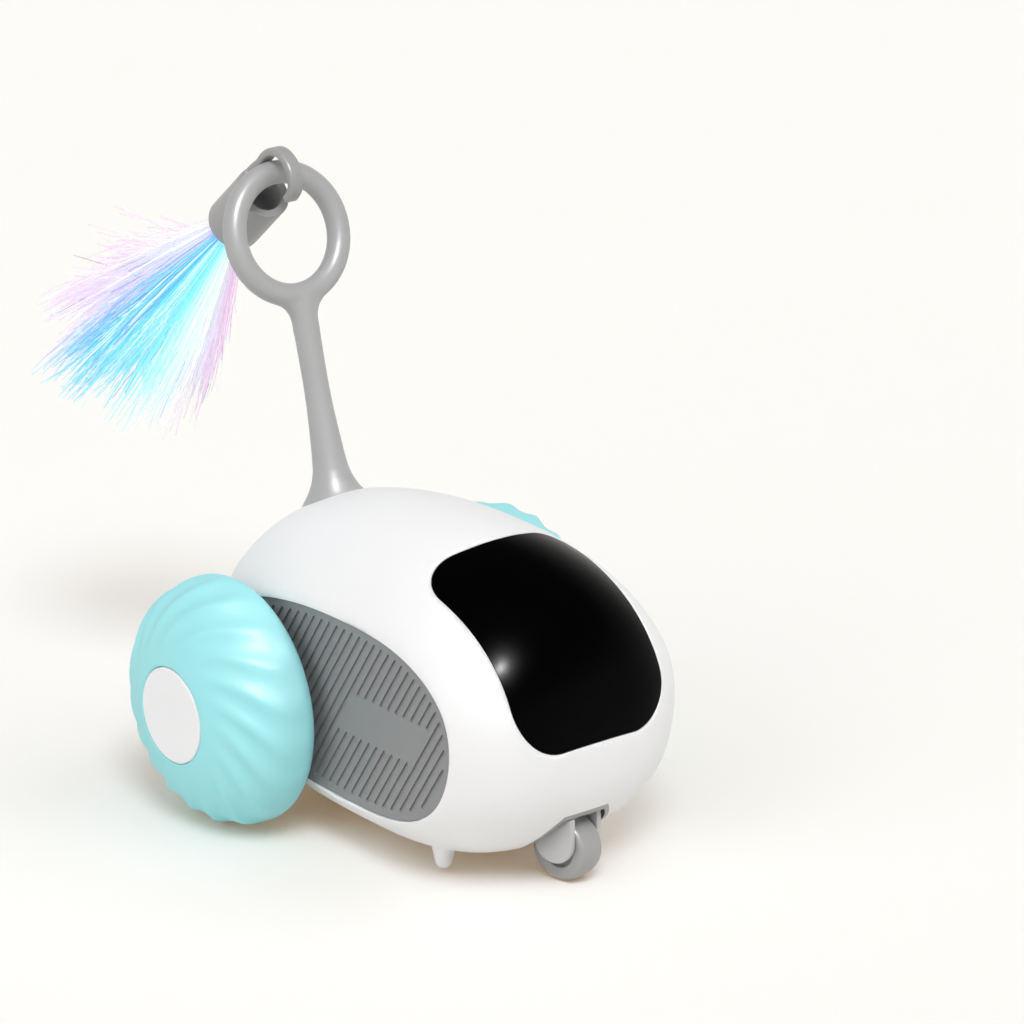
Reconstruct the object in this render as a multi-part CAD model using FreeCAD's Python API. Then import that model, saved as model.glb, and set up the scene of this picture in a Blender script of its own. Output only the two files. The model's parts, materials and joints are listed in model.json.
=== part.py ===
import FreeCAD, Part
import math
import os

from FreeCAD import Placement, Rotation, Vector

# Robotic cat toy car, millimetres.
# Working frame: X across the car (left wheel at +X), the nose points to -Y, +Z is up,
# Z = 0 is the floor and the wheels turn about the line Y = 0. On export every piece is
# moved along Y so that the origin lies below the middle of the whole length.

# Body: an egg lying along Y, written as half sizes about its widest section
EGG_Y = -35.0
EGG_Z = 39.35
EGG_FRONT = 50.65
EGG_REAR = 65.4
EGG_HALF_WIDTH = 37.9
EGG_TOP = 35.2
EGG_BOTTOM = 37.9
EGG_FRONT_POWERS = (2.99, 2.20, 2.63)
EGG_REAR_POWERS = (2.84, 2.35, 2.90)
EGG_SECTION_TOP_POWER = 1.89
EGG_SECTION_BOTTOM_POWER = 2.65
EGG_RINGS = 7
EGG_RING_POINTS = 24
BELLY_Z = 5.0
SHELL_WALL = 2.0
FLAT_X = 31.7
PANEL_WALL = 1.8

# Running fits and gaps
FIT_GAP = 0.05
SEAM_GAP = 0.15
RUN_GAP = 0.3

# Side panels, set in a recess of the flat side
SIDE_OUTLINE_POINTS = 40
PANEL_TOP_INSET = 0.9
PANEL_EDGE_INSET = 0.35
PANEL_TOP_REAR = 12.0
PANEL_SUNK = 0.4
PANEL_THICK = 1.5
GROOVE_LEAN = 34.0
GROOVE_PITCH = 2.8
GROOVE_WIDTH = 0.95
GROOVE_DEEP = 0.5
GROOVE_EDGE = 2.0
PLAIN_BAND_LOW = 30.0
PLAIN_BAND_HIGH = 40.0
PLAIN_BAND_FRONT = -60.5
PLAIN_BAND_REAR = -35.0

# Visor window in the nose, drawn square to a line leaning 45 degrees forward
VISOR_LEAN = 45.0
VISOR_HALF_WIDTH = 21.1
VISOR_LOW = -34.9
VISOR_HIGH = 16.75
VISOR_LOW_CORNER = 11.4
VISOR_HIGH_CORNER = 10.0
VISOR_THICK = 1.0
VISOR_LEDGE = 3.0
VISOR_CUT_START = 60.0
VISOR_CUT_LENGTH = 50.0

# Wheels
WHEEL_RADIUS = 29.0
WHEEL_SIDE = 37.35
WHEEL_DOME = 18.6
WHEEL_POWER = 2.41
WHEEL_FACE = 55.0
WHEEL_RIM_X = 34.5
WHEEL_RIM_ROUND = 3.5
TYRE_WALL = 2.6
HUB_WALL = 2.0
HUB_WEB_X = 35.8
HUB_SLEEVE_RADIUS = 3.6
CAP_RADIUS = 11.25
CAP_THICK = 1.5
CAP_PROUD = 0.2
CAP_PLUG_RADIUS = 8.0
CAP_PLUG_LENGTH = 3.0

# Wheel axle and its bush in the side wall
AXLE_Z = WHEEL_RADIUS
AXLE_RADIUS = 1.5
BUSH_RADIUS = 3.0
BUSH_FLANGE_RADIUS = 4.5
BUSH_FLANGE_THICK = 1.0

# Gear train of each side
GEAR_MODULE = 0.5
BIG_TEETH = 36
SMALL_TEETH = 12
PRESSURE_ANGLE = 20.0
TOOTH_PLAY = 0.07
CASE_INNER_X = 18.3
CASE_WALL = 1.2
GEAR_SIDE_GAP = 0.4
COMPOUND_FACE = 1.8
PINION_FACE = 2.0
OUTPUT_FACE = 4.0
COMPOUND_PIN_RADIUS = 1.0
LUG_LENGTH = 7.0
LUG_HALF_HEIGHT = 3.5
LUG_THICK = 2.0
LUG_X = 22.0

# Motors
MOTOR_RADIUS = 6.0
MOTOR_HALF_FLAT = 5.0
MOTOR_LENGTH = 14.8
MOTOR_SHAFT_RADIUS = 0.75
MOTOR_SHAFT_DEPTH = 4.0
MOTOR_BOSS_RADIUS = 2.0
MOTOR_BOSS_LENGTH = 1.0

# Screws
SCREW_RADIUS = 1.0
SCREW_HEAD_RADIUS = 2.0
SCREW_HEAD = 1.2
SCREW_BOSS_RADIUS = 2.4
SCREW_BITE = 5.0

# Base cover in the belly
COVER_FRONT = -60.0
COVER_REAR = 2.0
COVER_HALF_WIDTH = 20.0
COVER_CORNER = 14.0
COVER_LEDGE = 4.0
COVER_THICK = 2.0
COVER_SCREW_Y = 12.0
LEDGE_THICK = 2.0
LEDGE_MARGIN = 1.2

# Battery and its cradle on the base cover
BATTERY_HALF_WIDTH = 12.0
BATTERY_LENGTH = 21.0
BATTERY_HIGH = 10.0
BATTERY_FRONT = -50.0
BATTERY_ROUND = 1.5
CRADLE_WALL = 1.4
CRADLE_FLOOR = 10.0
CRADLE_HIGH = 6.0

# Boards
BOARD_THICK = 1.6
MAIN_BOARD_HALF_WIDTH = 26.0
MAIN_BOARD_FRONT = -25.0
MAIN_BOARD_LENGTH = 29.0
MAIN_BOARD_STAND = 3.0
MAIN_BOARD_SCREW_X = 23.0
MAIN_BOARD_SCREW_INSET = 4.0
CHIP_SIZE = 8.0
CHIP_HIGH = 1.4
POWER_BOARD_Y = 18.2
POWER_BOARD_HALF_WIDTH = 12.0
POWER_BOARD_LOW = 27.0
POWER_BOARD_HIGH = 53.0
POWER_BOARD_SCREW_X = 9.5
POWER_BOARD_SCREW_Z = 40.0
RECEIVER_S = 82.0
RECEIVER_T = -6.0
RECEIVER_HALF_WIDTH = 22.5
RECEIVER_HALF_HEIGHT = 6.0
RECEIVER_BOSS_X = 20.2
RECEIVER_BOSS_RADIUS = 1.8
RECEIVER_EYE_RADIUS = 2.5
RECEIVER_EYE_LENGTH = 4.0

# Power button and charging socket in the tail end
BUTTON_Z = 47.0
BUTTON_RADIUS = 4.0
BUTTON_PROUD = 0.9
BUTTON_TRAVEL = 0.8
BUTTON_FLANGE = 1.0
BUTTON_LONG = 7.2
SWITCH_HALF = 3.0
SWITCH_DEEP = 3.2
PORT_Z = 33.0
PORT_HALF_WIDTH = 4.5
PORT_HALF_HEIGHT = 1.6
PORT_WALL = 0.3
PORT_BACK = 1.5

# Caster in the nose
CASTER_PIVOT_Y = -73.2
CASTER_TURN = 14.0
CASTER_TRAIL = 1.0
CASTER_WHEEL_RADIUS = 7.6
CASTER_WHEEL_WIDTH = 7.4
CASTER_TREAD_CROWN = 0.25
CASTER_TREAD_ROUND = 1.3
CASTER_RECESS_RADIUS = 4.0
CASTER_RECESS_DEEP = 1.4
CASTER_AXLE_RADIUS = 1.0
FORK_LEG_THICK = 1.6
FORK_LEG_HALF_WIDTH = 5.2
FORK_LEG_RAISE = 2.7
FORK_LEG_SKIN = 0.5
FORK_BOSS_RADIUS = 2.5
FORK_BRIDGE_HALF_WIDTH = 4.0
FORK_BRIDGE_THICK = 1.0
FORK_PIN_RADIUS = 1.5
WELL_RADIUS = 9.1
WELL_WALL = 0.9
WELL_CEILING = 17.0
WELL_CEILING_THICK = 1.4
WELL_BOSS_RADIUS = 3.5
WELL_BOSS_LENGTH = 5.0
CLIP_RADIUS = 3.0
CLIP_THICK = 0.8

# Two stub feet under the nose
STUB_X = 20.5
STUB_Y = -55.9
STUB_TIP_Z = 1.5
STUB_TOP_RADIUS = 3.5
STUB_TIP_RADIUS = 2.0
STUB_TOP_Z = 10.0

# Tail: a soft stem with a ring at its tip
TAIL_ROOT = (10.9, 65.5)
RING_FOOT = (23.7, 112.2)
RING_RADIUS = 14.3
RING_TUBE = 2.77
RING_LEAN = 20.0
STEM_SPLIT = 9.0
STEM_FOOT_RADIUS = 9.4
STEM_FLARE_RADIUS = 7.8
STEM_FLARE_END = 0.1
STEM_FLARE_END_RADIUS = 4.85
STEM_LOW = 0.22
STEM_LOW_RADIUS = 3.75
STEM_WAIST = 0.6
STEM_WAIST_RADIUS = 2.95
STEM_TOP_RADIUS = 3.1
RING_FOOT_ROUND = 6.0
RING_FOOT_STEPS = 5
STEM_NECK_RADIUS = 3.2
STEM_NECK_DEEP = 5.5
STEM_BULB_RADIUS = 4.6
STEM_BULB_LONG = 2.2
RETAINER_RADIUS = 6.5
RETAINER_THICK = 1.2
TAIL_PAD_RADIUS = 7.0

# Teaser: hook, cup, ferrule and tassel, hung on the tail ring
HOOK_WIDTH = 3.6
HOOK_THICK = 1.95
HOOK_ROUND = 0.6
HOOK_TIP_ROUND = 0.5
HOOK_EYE_BACK = 3.9
HOOK_EYE_DROP = 0.6
HOOK_CURVE = (
    (14.1, -2.7), (12.6, -1.4), (11.2, -0.2), (9.7, 1.0), (7.8, 2.4), (6.5, 3.85), (4.65, 5.2), (2.8, 5.95),
    (0.95, 6.05), (-1.1, 5.45), (-2.85, 4.25), (-4.05, 2.7), (-4.55, 0.9), (-4.5, -0.9), (-3.95, -2.3), (-2.85, -3.65),
    (-2.0, -4.4))
CUP_MOUTH = (37.7, 133.5)
CUP_DROP = 41.3
CUP_RADIUS = 6.65
CUP_WALL = 2.0
CUP_LENGTH = 17.5
CUP_ROUND = 2.2
FERRULE_RADIUS = 1.6
FERRULE_FLANGE_RADIUS = 3.0
FERRULE_FLANGE = 1.0
FERRULE_OUT = 2.0
TASSEL_LENGTH = 58.0
TASSEL_SPREAD = 28.5
TASSEL_ROOT_RADIUS = 1.4

X_AXIS = Vector(1, 0, 0)
Y_AXIS = Vector(0, 1, 0)
Z_AXIS = Vector(0, 0, 1)


def power_wave(value, power):
    """The signed power of a cosine or sine that turns a circle into a super-ellipse."""
    return math.copysign(abs(value) ** (2.0 / power), value)


def egg_section(y, inset):
    """A closed curve: the egg's section square to Y, with every half size less the inset."""
    length, powers = (EGG_FRONT, EGG_FRONT_POWERS) if y < EGG_Y else (EGG_REAR, EGG_REAR_POWERS)
    share = abs(y - EGG_Y) / (length - inset)
    half_width, top, bottom = [
        (size - inset) * (1.0 - share ** power) ** (1.0 / power)
        for size, power in zip((EGG_HALF_WIDTH, EGG_TOP, EGG_BOTTOM), powers)
    ]
    points = []
    for index in range(EGG_RING_POINTS):
        turn = 2.0 * math.pi * index / EGG_RING_POINTS - math.pi / 2.0
        across, up = math.cos(turn), math.sin(turn)
        height, power = (top, EGG_SECTION_TOP_POWER) if up > 0 else (bottom, EGG_SECTION_BOTTOM_POWER)
        points.append(Vector(half_width * power_wave(across, power), y, EGG_Z + height * power_wave(up, power)))
    curve = Part.BSplineCurve()
    curve.interpolate(Points=points, PeriodicFlag=True)
    return Part.Wire([curve.toShape()])


def egg(inset=0.0):
    """The whole egg as one smooth solid, with every half size less the inset."""
    front = EGG_FRONT - inset
    rear = EGG_REAR - inset
    step = math.pi / 2.0 / EGG_RINGS
    sections = [Part.Vertex(Vector(0, EGG_Y - front, EGG_Z))]
    sections += [egg_section(EGG_Y - front * math.cos(step * index), inset) for index in range(1, EGG_RINGS)]
    sections += [egg_section(EGG_Y, inset)]
    sections += [egg_section(EGG_Y + rear * math.sin(step * index), inset) for index in range(1, EGG_RINGS)]
    sections += [Part.Vertex(Vector(0, EGG_Y + rear, EGG_Z))]
    return Part.makeLoft(sections, True, False)


def block(x0, x1, y0, y1, z0, z1):
    """A box between two corners."""
    return Part.makeBox(x1 - x0, y1 - y0, z1 - z0, Vector(x0, y0, z0))


def rod_x(radius, x0, x1, y, z):
    """A round bar along X."""
    return Part.makeCylinder(radius, x1 - x0, Vector(x0, y, z), X_AXIS)


def rod_y(radius, y0, y1, x, z):
    """A round bar along Y."""
    return Part.makeCylinder(radius, y1 - y0, Vector(x, y0, z), Y_AXIS)


def rod_z(radius, z0, z1, x, y):
    """A round bar along Z."""
    return Part.makeCylinder(radius, z1 - z0, Vector(x, y, z0), Z_AXIS)


def union(first, *others):
    """One solid from pieces that touch, with the joints between faces cleaned away."""
    return first.multiFuse(list(others)).removeSplitter()


def corner_rectangle(x0, x1, y0, y1, low_radius, high_radius):
    """A flat face in XY with rounded corners: one radius at the low end, another at the high end."""
    bend = math.sqrt(0.5)
    corners = [
        (x0 + low_radius, y0 + low_radius, low_radius, -1, -1),
        (x1 - low_radius, y0 + low_radius, low_radius, 1, -1),
        (x1 - high_radius, y1 - high_radius, high_radius, 1, 1),
        (x0 + high_radius, y1 - high_radius, high_radius, -1, 1),
    ]
    arcs = []
    for x, y, radius, side_x, side_y in corners:
        middle = Vector(x + side_x * radius * bend, y + side_y * radius * bend, 0)
        on_side = Vector(x + side_x * radius, y, 0)
        on_end = Vector(x, y + side_y * radius, 0)
        arcs.append((on_side, middle, on_end) if side_x == side_y else (on_end, middle, on_side))
    edges = []
    for index, (first, middle, last) in enumerate(arcs):
        edges.append(Part.Arc(first, middle, last).toShape())
        edges.append(Part.LineSegment(last, arcs[(index + 1) % 4][0]).toShape())
    return Part.Face(Part.Wire(edges))


def revolve_x(points_and_edges):
    """A solid turned about the wheel's axis from a closed chain of edges in the XY plane."""
    face = Part.Face(Part.Wire(points_and_edges))
    solid = face.revolve(Vector(0, 0, 0), X_AXIS, 360)
    return solid


def mirrored(shape):
    """The same piece on the car's other side."""
    return shape.mirror(Vector(0, 0, 0), X_AXIS)


# Body shell, visor and side panels

def panel_inset(point, inward):
    """How far the panel's recess stays inside the flat side: most along the top, before the axle."""
    facing_up = max(0.0, -inward.z)
    before_axle = min(1.0, max(0.0, -point.y / PANEL_TOP_REAR))
    return PANEL_EDGE_INSET + (PANEL_TOP_INSET - PANEL_EDGE_INSET) * facing_up * before_axle


def side_points(inset):
    """Points round the panel's recess in the flat side, drawn in by the inset."""
    outline = FLAT_SIDE_WIRE.discretize(SIDE_OUTLINE_POINTS + 1)[:-1]
    middle = Vector(FLAT_X, EGG_Y, EGG_Z)
    points = []
    for index, point in enumerate(outline):
        along = outline[(index + 1) % SIDE_OUTLINE_POINTS] - outline[index - 1]
        inward = Vector(0, -along.z, along.y).normalize()
        if inward.dot(middle - point) < 0:
            inward = inward * -1.0
        points.append(point + inward * (panel_inset(point, inward) + inset))
    return points


def side_prism(inset, x0, x1):
    """The outline of the panel's recess, drawn in by the inset, as a slab from x0 to x1."""
    curve = Part.BSplineCurve()
    curve.interpolate(Points=side_points(inset), PeriodicFlag=True)
    face = Part.Face(Part.Wire([curve.toShape()]))
    face.translate(Vector(x0 - FLAT_X, 0, 0))
    return face.extrude(Vector(x1 - x0, 0, 0))


def visor_prism(inset):
    """A bar with the visor's outline, drawn in by the inset, that comes out through the nose."""
    face = corner_rectangle(
        -VISOR_HALF_WIDTH + inset, VISOR_HALF_WIDTH - inset, VISOR_LOW + inset, VISOR_HIGH - inset,
        VISOR_LOW_CORNER - inset, VISOR_HIGH_CORNER - inset)
    face.translate(Vector(0, 0, VISOR_CUT_START))
    bar = face.extrude(Vector(0, 0, VISOR_CUT_LENGTH))
    bar.rotate(Vector(0, 0, 0), X_AXIS, VISOR_LEAN)
    return bar


def visor():
    """Glossy black window, flush with the shell."""
    bar = visor_prism(SEAM_GAP)
    return bar.common(WHOLE_EGG).cut(egg(VISOR_THICK))


def cover_outline(inset, z0, z1):
    """The base cover's outline, drawn in by the inset, from z0 to z1."""
    face = corner_rectangle(
        -COVER_HALF_WIDTH + inset, COVER_HALF_WIDTH - inset, COVER_FRONT + inset, COVER_REAR - inset,
        COVER_CORNER - inset, COVER_CORNER - inset)
    face.translate(Vector(0, 0, z0))
    return face.extrude(Vector(0, 0, z1 - z0))


def cover_screw_places():
    """The four cover screws: in the overlap of cover and ledge, on both sides."""
    middle = (COVER_FRONT + COVER_REAR) / 2.0
    across = COVER_HALF_WIDTH - COVER_LEDGE / 2.0
    return [(side * across, middle + end * COVER_SCREW_Y) for side in (-1, 1) for end in (-1, 1)]


def lug_places():
    """Y of the two screws that hold each gear case: one before it and one behind it."""
    return [CASE_FRONT - LUG_LENGTH + LUG_HALF_HEIGHT, CASE_REAR + LUG_LENGTH - LUG_HALF_HEIGHT]


def stub_foot(side):
    """A short tapered foot with a round tip."""
    cone = Part.makeCone(
        STUB_TIP_RADIUS, STUB_TOP_RADIUS, STUB_TOP_Z - STUB_TIP_Z - STUB_TIP_RADIUS,
        Vector(side * STUB_X, STUB_Y, STUB_TIP_Z + STUB_TIP_RADIUS), Z_AXIS)
    tip = Part.makeSphere(STUB_TIP_RADIUS, Vector(side * STUB_X, STUB_Y, STUB_TIP_Z + STUB_TIP_RADIUS))
    return cone.fuse(tip)


def stem_axis():
    """The unit vector up the tail stem."""
    run = Vector(0, RING_FOOT[0] - TAIL_ROOT[0], RING_FOOT[1] - TAIL_ROOT[1])
    return run.normalize()


def on_stem(distance):
    """A point on the stem's axis, measured from the shell's skin."""
    return Vector(0, TAIL_ROOT[0], TAIL_ROOT[1]) + stem_axis() * distance


def along_stem(shape):
    """Turn a shape that was drawn along +Z from the origin onto the stem's axis."""
    shape.Placement = Placement(on_stem(0), Rotation(Z_AXIS, stem_axis()))
    return shape


def receiver_place(shape):
    """Turn a shape drawn square to Z into the leaning frame of the visor."""
    shape.rotate(Vector(0, 0, 0), X_AXIS, VISOR_LEAN)
    return shape


def shell_bosses():
    """Everything that stands on the shell's inside: ledge, screw posts and board posts."""
    pieces = [cover_outline(-LEDGE_MARGIN, BELLY_Z, BELLY_Z + COVER_THICK + LEDGE_THICK)]
    post_top = BELLY_Z + COVER_THICK + SCREW_BITE + LEDGE_THICK
    for x, y in cover_screw_places():
        pieces.append(rod_z(SCREW_BOSS_RADIUS, BELLY_Z + COVER_THICK, post_top, x, y))
    for side in (-1, 1):
        for y in lug_places():
            low, high = sorted((side * (LUG_X + LUG_THICK), side * FLAT_X))
            pieces.append(rod_x(SCREW_BOSS_RADIUS, low, high, y, AXLE_Z))
        pieces.append(rod_y(
            SCREW_BOSS_RADIUS, POWER_BOARD_Y + BOARD_THICK, EGG_Y + EGG_REAR,
            side * POWER_BOARD_SCREW_X, POWER_BOARD_SCREW_Z))
        post = rod_z(
            RECEIVER_BOSS_RADIUS, RECEIVER_S + BOARD_THICK, VISOR_CUT_START + VISOR_CUT_LENGTH,
            side * RECEIVER_BOSS_X, RECEIVER_T)
        pieces.append(receiver_place(post))
    pad = along_stem(Part.makeCylinder(TAIL_PAD_RADIUS, STEM_NECK_DEEP * 2.0, Vector(0, 0, -STEM_NECK_DEEP)))
    pieces.append(pad)
    return pieces


def screw_holes():
    """Pilot holes for every screw that goes into the shell."""
    holes = []
    for x, y in cover_screw_places():
        bottom = BELLY_Z + COVER_THICK
        holes.append(rod_z(SCREW_RADIUS, bottom - 1.0, bottom + LEDGE_THICK + SCREW_BITE - 1.0, x, y))
    for side in (-1, 1):
        for y in lug_places():
            low, high = sorted((side * LUG_X, side * (LUG_X + LUG_THICK + SCREW_BITE - 1.0)))
            holes.append(rod_x(SCREW_RADIUS, low, high, y, AXLE_Z))
        holes.append(rod_y(
            SCREW_RADIUS, POWER_BOARD_Y, POWER_BOARD_Y + BOARD_THICK + SCREW_BITE - 1.0,
            side * POWER_BOARD_SCREW_X, POWER_BOARD_SCREW_Z))
        pin = rod_z(
            SCREW_RADIUS, RECEIVER_S, RECEIVER_S + BOARD_THICK + SCREW_BITE - 1.0,
            side * RECEIVER_BOSS_X, RECEIVER_T)
        holes.append(receiver_place(pin))
    return holes


def shell_cuts(inner_flat):
    """Seats, openings and holes of the shell."""
    cuts = [visor_prism(0.0).cut(egg(VISOR_THICK + FIT_GAP)), visor_prism(VISOR_LEDGE)]
    recess = side_prism(0.0, FLAT_X - PANEL_SUNK - PANEL_THICK, FLAT_X + 1.0)
    cuts += [recess, mirrored(recess)]
    for side in (-1, 1):
        low, high = sorted((side * (inner_flat - 1.0), side * FLAT_X))
        cuts.append(rod_x(BUSH_RADIUS + FIT_GAP, low, high, 0, AXLE_Z))
        low, high = sorted((side * (inner_flat - 1.0), side * (inner_flat + PANEL_WALL / 2.0)))
        cuts.append(rod_x(COMPOUND_PIN_RADIUS + FIT_GAP, low, high, COMPOUND_Y, AXLE_Z))
    cuts.append(cover_outline(-SEAM_GAP, BELLY_Z - 1.0, BELLY_Z + COVER_THICK))
    cuts.append(cover_outline(COVER_LEDGE, BELLY_Z, BELLY_Z + COVER_THICK + LEDGE_THICK))
    well_top = WELL_CEILING + WELL_CEILING_THICK
    cuts.append(rod_z(WELL_RADIUS + WELL_WALL + FIT_GAP, 0, well_top, 0, CASTER_PIVOT_Y))
    neck = Part.makeCylinder(STEM_NECK_RADIUS + FIT_GAP, STEM_NECK_DEEP * 2.0, Vector(0, 0, -STEM_NECK_DEEP))
    cuts.append(along_stem(neck))
    cuts.append(rod_y(BUTTON_RADIUS + SEAM_GAP, BUTTON_BACK, EGG_Y + EGG_REAR + 1.0, 0, BUTTON_Z))
    cuts.append(port_prism(SEAM_GAP, PORT_FRONT - 2.0, EGG_Y + EGG_REAR + 1.0))
    return cuts + screw_holes()


def body_shell():
    """One-piece white shell with its seats for panels, visor, cover, caster, tail and button."""
    nose, tail = EGG_Y - EGG_FRONT, EGG_Y + EGG_REAR
    outside = WHOLE_EGG.common(block(-FLAT_X, FLAT_X, nose, tail, BELLY_Z, EGG_Z + EGG_TOP))
    inner_flat = FLAT_X - PANEL_SUNK - PANEL_THICK - PANEL_WALL
    room = block(-inner_flat, inner_flat, nose, tail, BELLY_Z + SHELL_WALL, EGG_Z + EGG_TOP)
    hollow = egg(SHELL_WALL).common(room).cut(shell_bosses())
    with_feet = outside.multiFuse([stub_foot(side) for side in (-1, 1)])
    return with_feet.cut([hollow] + shell_cuts(inner_flat))


def groove_spans():
    """Each groove as a pair of end points in the panel's plane, from the rear of the panel to its front."""
    middle_z = (PLAIN_BAND_LOW + PLAIN_BAND_HIGH) / 2.0
    lean = math.tan(math.radians(GROOVE_LEAN))
    outline = side_points(GROOVE_EDGE)
    spans = []
    for index in range(int((EGG_FRONT + EGG_REAR) / GROOVE_PITCH)):
        y = EGG_Y - EGG_FRONT + GROOVE_PITCH * index
        crossings = []
        for first, last in zip(outline, outline[1:] + outline[:1]):
            start = first.y - y + (first.z - middle_z) * lean
            end = last.y - y + (last.z - middle_z) * lean
            if start * end < 0:
                crossings.append(first.z + (last.z - first.z) * start / (start - end))
        if len(crossings) < 2:
            continue
        low, high = min(crossings), max(crossings)
        banded = PLAIN_BAND_FRONT < y < PLAIN_BAND_REAR
        for bottom, top in ((low, PLAIN_BAND_LOW), (PLAIN_BAND_HIGH, high)) if banded else ((low, high),):
            if top - bottom > 2.0 * GROOVE_WIDTH:
                spans.append([(y - (z - middle_z) * lean, z) for z in (bottom, top)])
    return spans


def groove_bars(x0, x1):
    """Round-ended bars that cut the panel's grooves."""
    half = GROOVE_WIDTH / 2.0
    bars = []
    for (low_y, low_z), (high_y, high_z) in groove_spans():
        along = Vector(0, high_y - low_y, high_z - low_z).normalize()
        across = Vector(0, -along.z, along.y) * half
        low = Vector(x0, low_y, low_z) + along * half
        high = Vector(x0, high_y, high_z) - along * half
        edges = [
            Part.LineSegment(low + across, high + across).toShape(),
            Part.Arc(high + across, high + along * half, high - across).toShape(),
            Part.LineSegment(high - across, low - across).toShape(),
            Part.Arc(low - across, low - along * half, low + across).toShape(),
        ]
        bars.append(Part.Face(Part.Wire(edges)).extrude(Vector(x1 - x0, 0, 0)))
    return bars


def side_panel():
    """Grey grooved plate of the left side, with the hole for the axle bush."""
    floor = FLAT_X - PANEL_SUNK - PANEL_THICK
    face = FLAT_X - PANEL_SUNK
    plate = side_prism(SEAM_GAP, floor, face)
    plate = plate.cut(rod_x(BUSH_RADIUS + FIT_GAP, floor - 1.0, face + 1.0, 0, AXLE_Z))
    return plate.cut(Part.makeCompound(groove_bars(face - GROOVE_DEEP, face + 1.0)))


# Wheels

def dome_edges(inset, x_end):
    """The dome's outline from its widest place to x_end, with its half sizes less the inset."""
    points = []
    for index in range(EGG_RINGS + 1):
        share = math.sin(math.pi / 2.0 * index / EGG_RINGS)
        run = (x_end - WHEEL_SIDE) * share
        drop = (1.0 - (run / (WHEEL_DOME - inset)) ** WHEEL_POWER) ** (1.0 / WHEEL_POWER)
        points.append(Vector(WHEEL_SIDE + run, (WHEEL_RADIUS - inset) * drop, 0))
    curve = Part.BSplineCurve()
    curve.interpolate(points)
    return curve.toShape(), points[0], points[-1]


def dome_solid(inset, x_start, x_end):
    """The wheel's domed body of revolution between two planes, drawn in by the inset."""
    dome, widest, last = dome_edges(inset, x_end)
    rim_round = max(WHEEL_RIM_ROUND - inset, 0.5)
    round_x = max(WHEEL_RIM_X + inset, x_start)
    lip = Vector(round_x, widest.y - rim_round, 0)
    crown = Vector(round_x + rim_round, widest.y, 0)
    if crown.x > widest.x:
        crown = widest
    bend_share = 1.0 - math.sqrt(0.5)
    bend = Vector(round_x + (crown.x - round_x) * bend_share, widest.y - rim_round * bend_share, 0)
    edges = [Part.LineSegment(Vector(round_x, 0, 0), lip).toShape(), Part.Arc(lip, bend, crown).toShape()]
    if crown.distanceToPoint(widest) > 1e-6:
        edges.append(Part.LineSegment(crown, widest).toShape())
    edges += [dome, Part.LineSegment(last, Vector(last.x, 0, 0)).toShape()]
    edges.append(Part.LineSegment(Vector(last.x, 0, 0), Vector(round_x, 0, 0)).toShape())
    solid = revolve_x(edges)
    solid.translate(Vector(0, 0, AXLE_Z))
    return solid


def tyre():
    """Soft domed tyre of the left wheel, open towards the car, with the cap's seat in its face."""
    outside = dome_solid(0.0, WHEEL_RIM_X, WHEEL_FACE)
    inside = dome_solid(TYRE_WALL, WHEEL_RIM_X + TYRE_WALL, WHEEL_FACE - TYRE_WALL)
    back = rod_x(WHEEL_RADIUS - TYRE_WALL - WHEEL_RIM_ROUND, WHEEL_RIM_X - 1.0, WHEEL_SIDE, 0, AXLE_Z)
    seat = rod_x(CAP_RADIUS + SEAM_GAP, WHEEL_FACE - CAP_THICK, WHEEL_FACE + 1.0, 0, AXLE_Z)
    nose = rod_x(CAP_PLUG_RADIUS + HUB_WALL + FIT_GAP, WHEEL_FACE - TYRE_WALL - 1.0, WHEEL_FACE, 0, AXLE_Z)
    return outside.cut([inside, back, seat, nose])


def wheel_hub():
    """Stiff core of the left wheel: domed wall, back web and the sleeve on the axle."""
    inset = TYRE_WALL + FIT_GAP
    outside = dome_solid(inset, WHEEL_RIM_X + inset, WHEEL_FACE - inset)
    inner = inset + HUB_WALL
    hollow = dome_solid(inner, HUB_WEB_X + HUB_WALL, WHEEL_FACE - inner)
    front_hole = rod_x(CAP_PLUG_RADIUS + FIT_GAP, WHEEL_SIDE, WHEEL_FACE, 0, AXLE_Z)
    web = rod_x(WHEEL_RADIUS - TYRE_WALL - WHEEL_RIM_ROUND - FIT_GAP, HUB_WEB_X, HUB_WEB_X + HUB_WALL, 0, AXLE_Z)
    nose = rod_x(CAP_PLUG_RADIUS + HUB_WALL, WHEEL_FACE - inner, WHEEL_FACE - CAP_THICK, 0, AXLE_Z)
    shell = outside.cut(hollow).fuse(web).fuse(nose).cut(front_hole)
    sleeve = rod_x(HUB_SLEEVE_RADIUS, SLEEVE_X, AXLE_END_X, 0, AXLE_Z)
    bore = rod_x(AXLE_RADIUS, SLEEVE_X - 1.0, AXLE_END_X + 1.0, 0, AXLE_Z)
    return shell.fuse(sleeve).cut(bore)


def hub_cap():
    """White disc in the middle of the left wheel, with the plug that snaps into the hub."""
    disc = rod_x(CAP_RADIUS, WHEEL_FACE - CAP_THICK, WHEEL_FACE + CAP_PROUD, 0, AXLE_Z)
    rim = [edge for edge in disc.Edges if abs(edge.CenterOfMass.x - WHEEL_FACE - CAP_PROUD) < 1e-3
           and edge.Curve.TypeId == "Part::GeomCircle"]
    disc = disc.makeFillet(CAP_THICK / 3.0, rim)
    plug = rod_x(CAP_PLUG_RADIUS, WHEEL_FACE - CAP_THICK - CAP_PLUG_LENGTH, WHEEL_FACE - CAP_THICK, 0, AXLE_Z)
    plug_bore = rod_x(
        CAP_PLUG_RADIUS - HUB_WALL, WHEEL_FACE - CAP_THICK - CAP_PLUG_LENGTH, WHEEL_FACE - CAP_THICK, 0, AXLE_Z)
    return disc.fuse(plug.cut(plug_bore))


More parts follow.
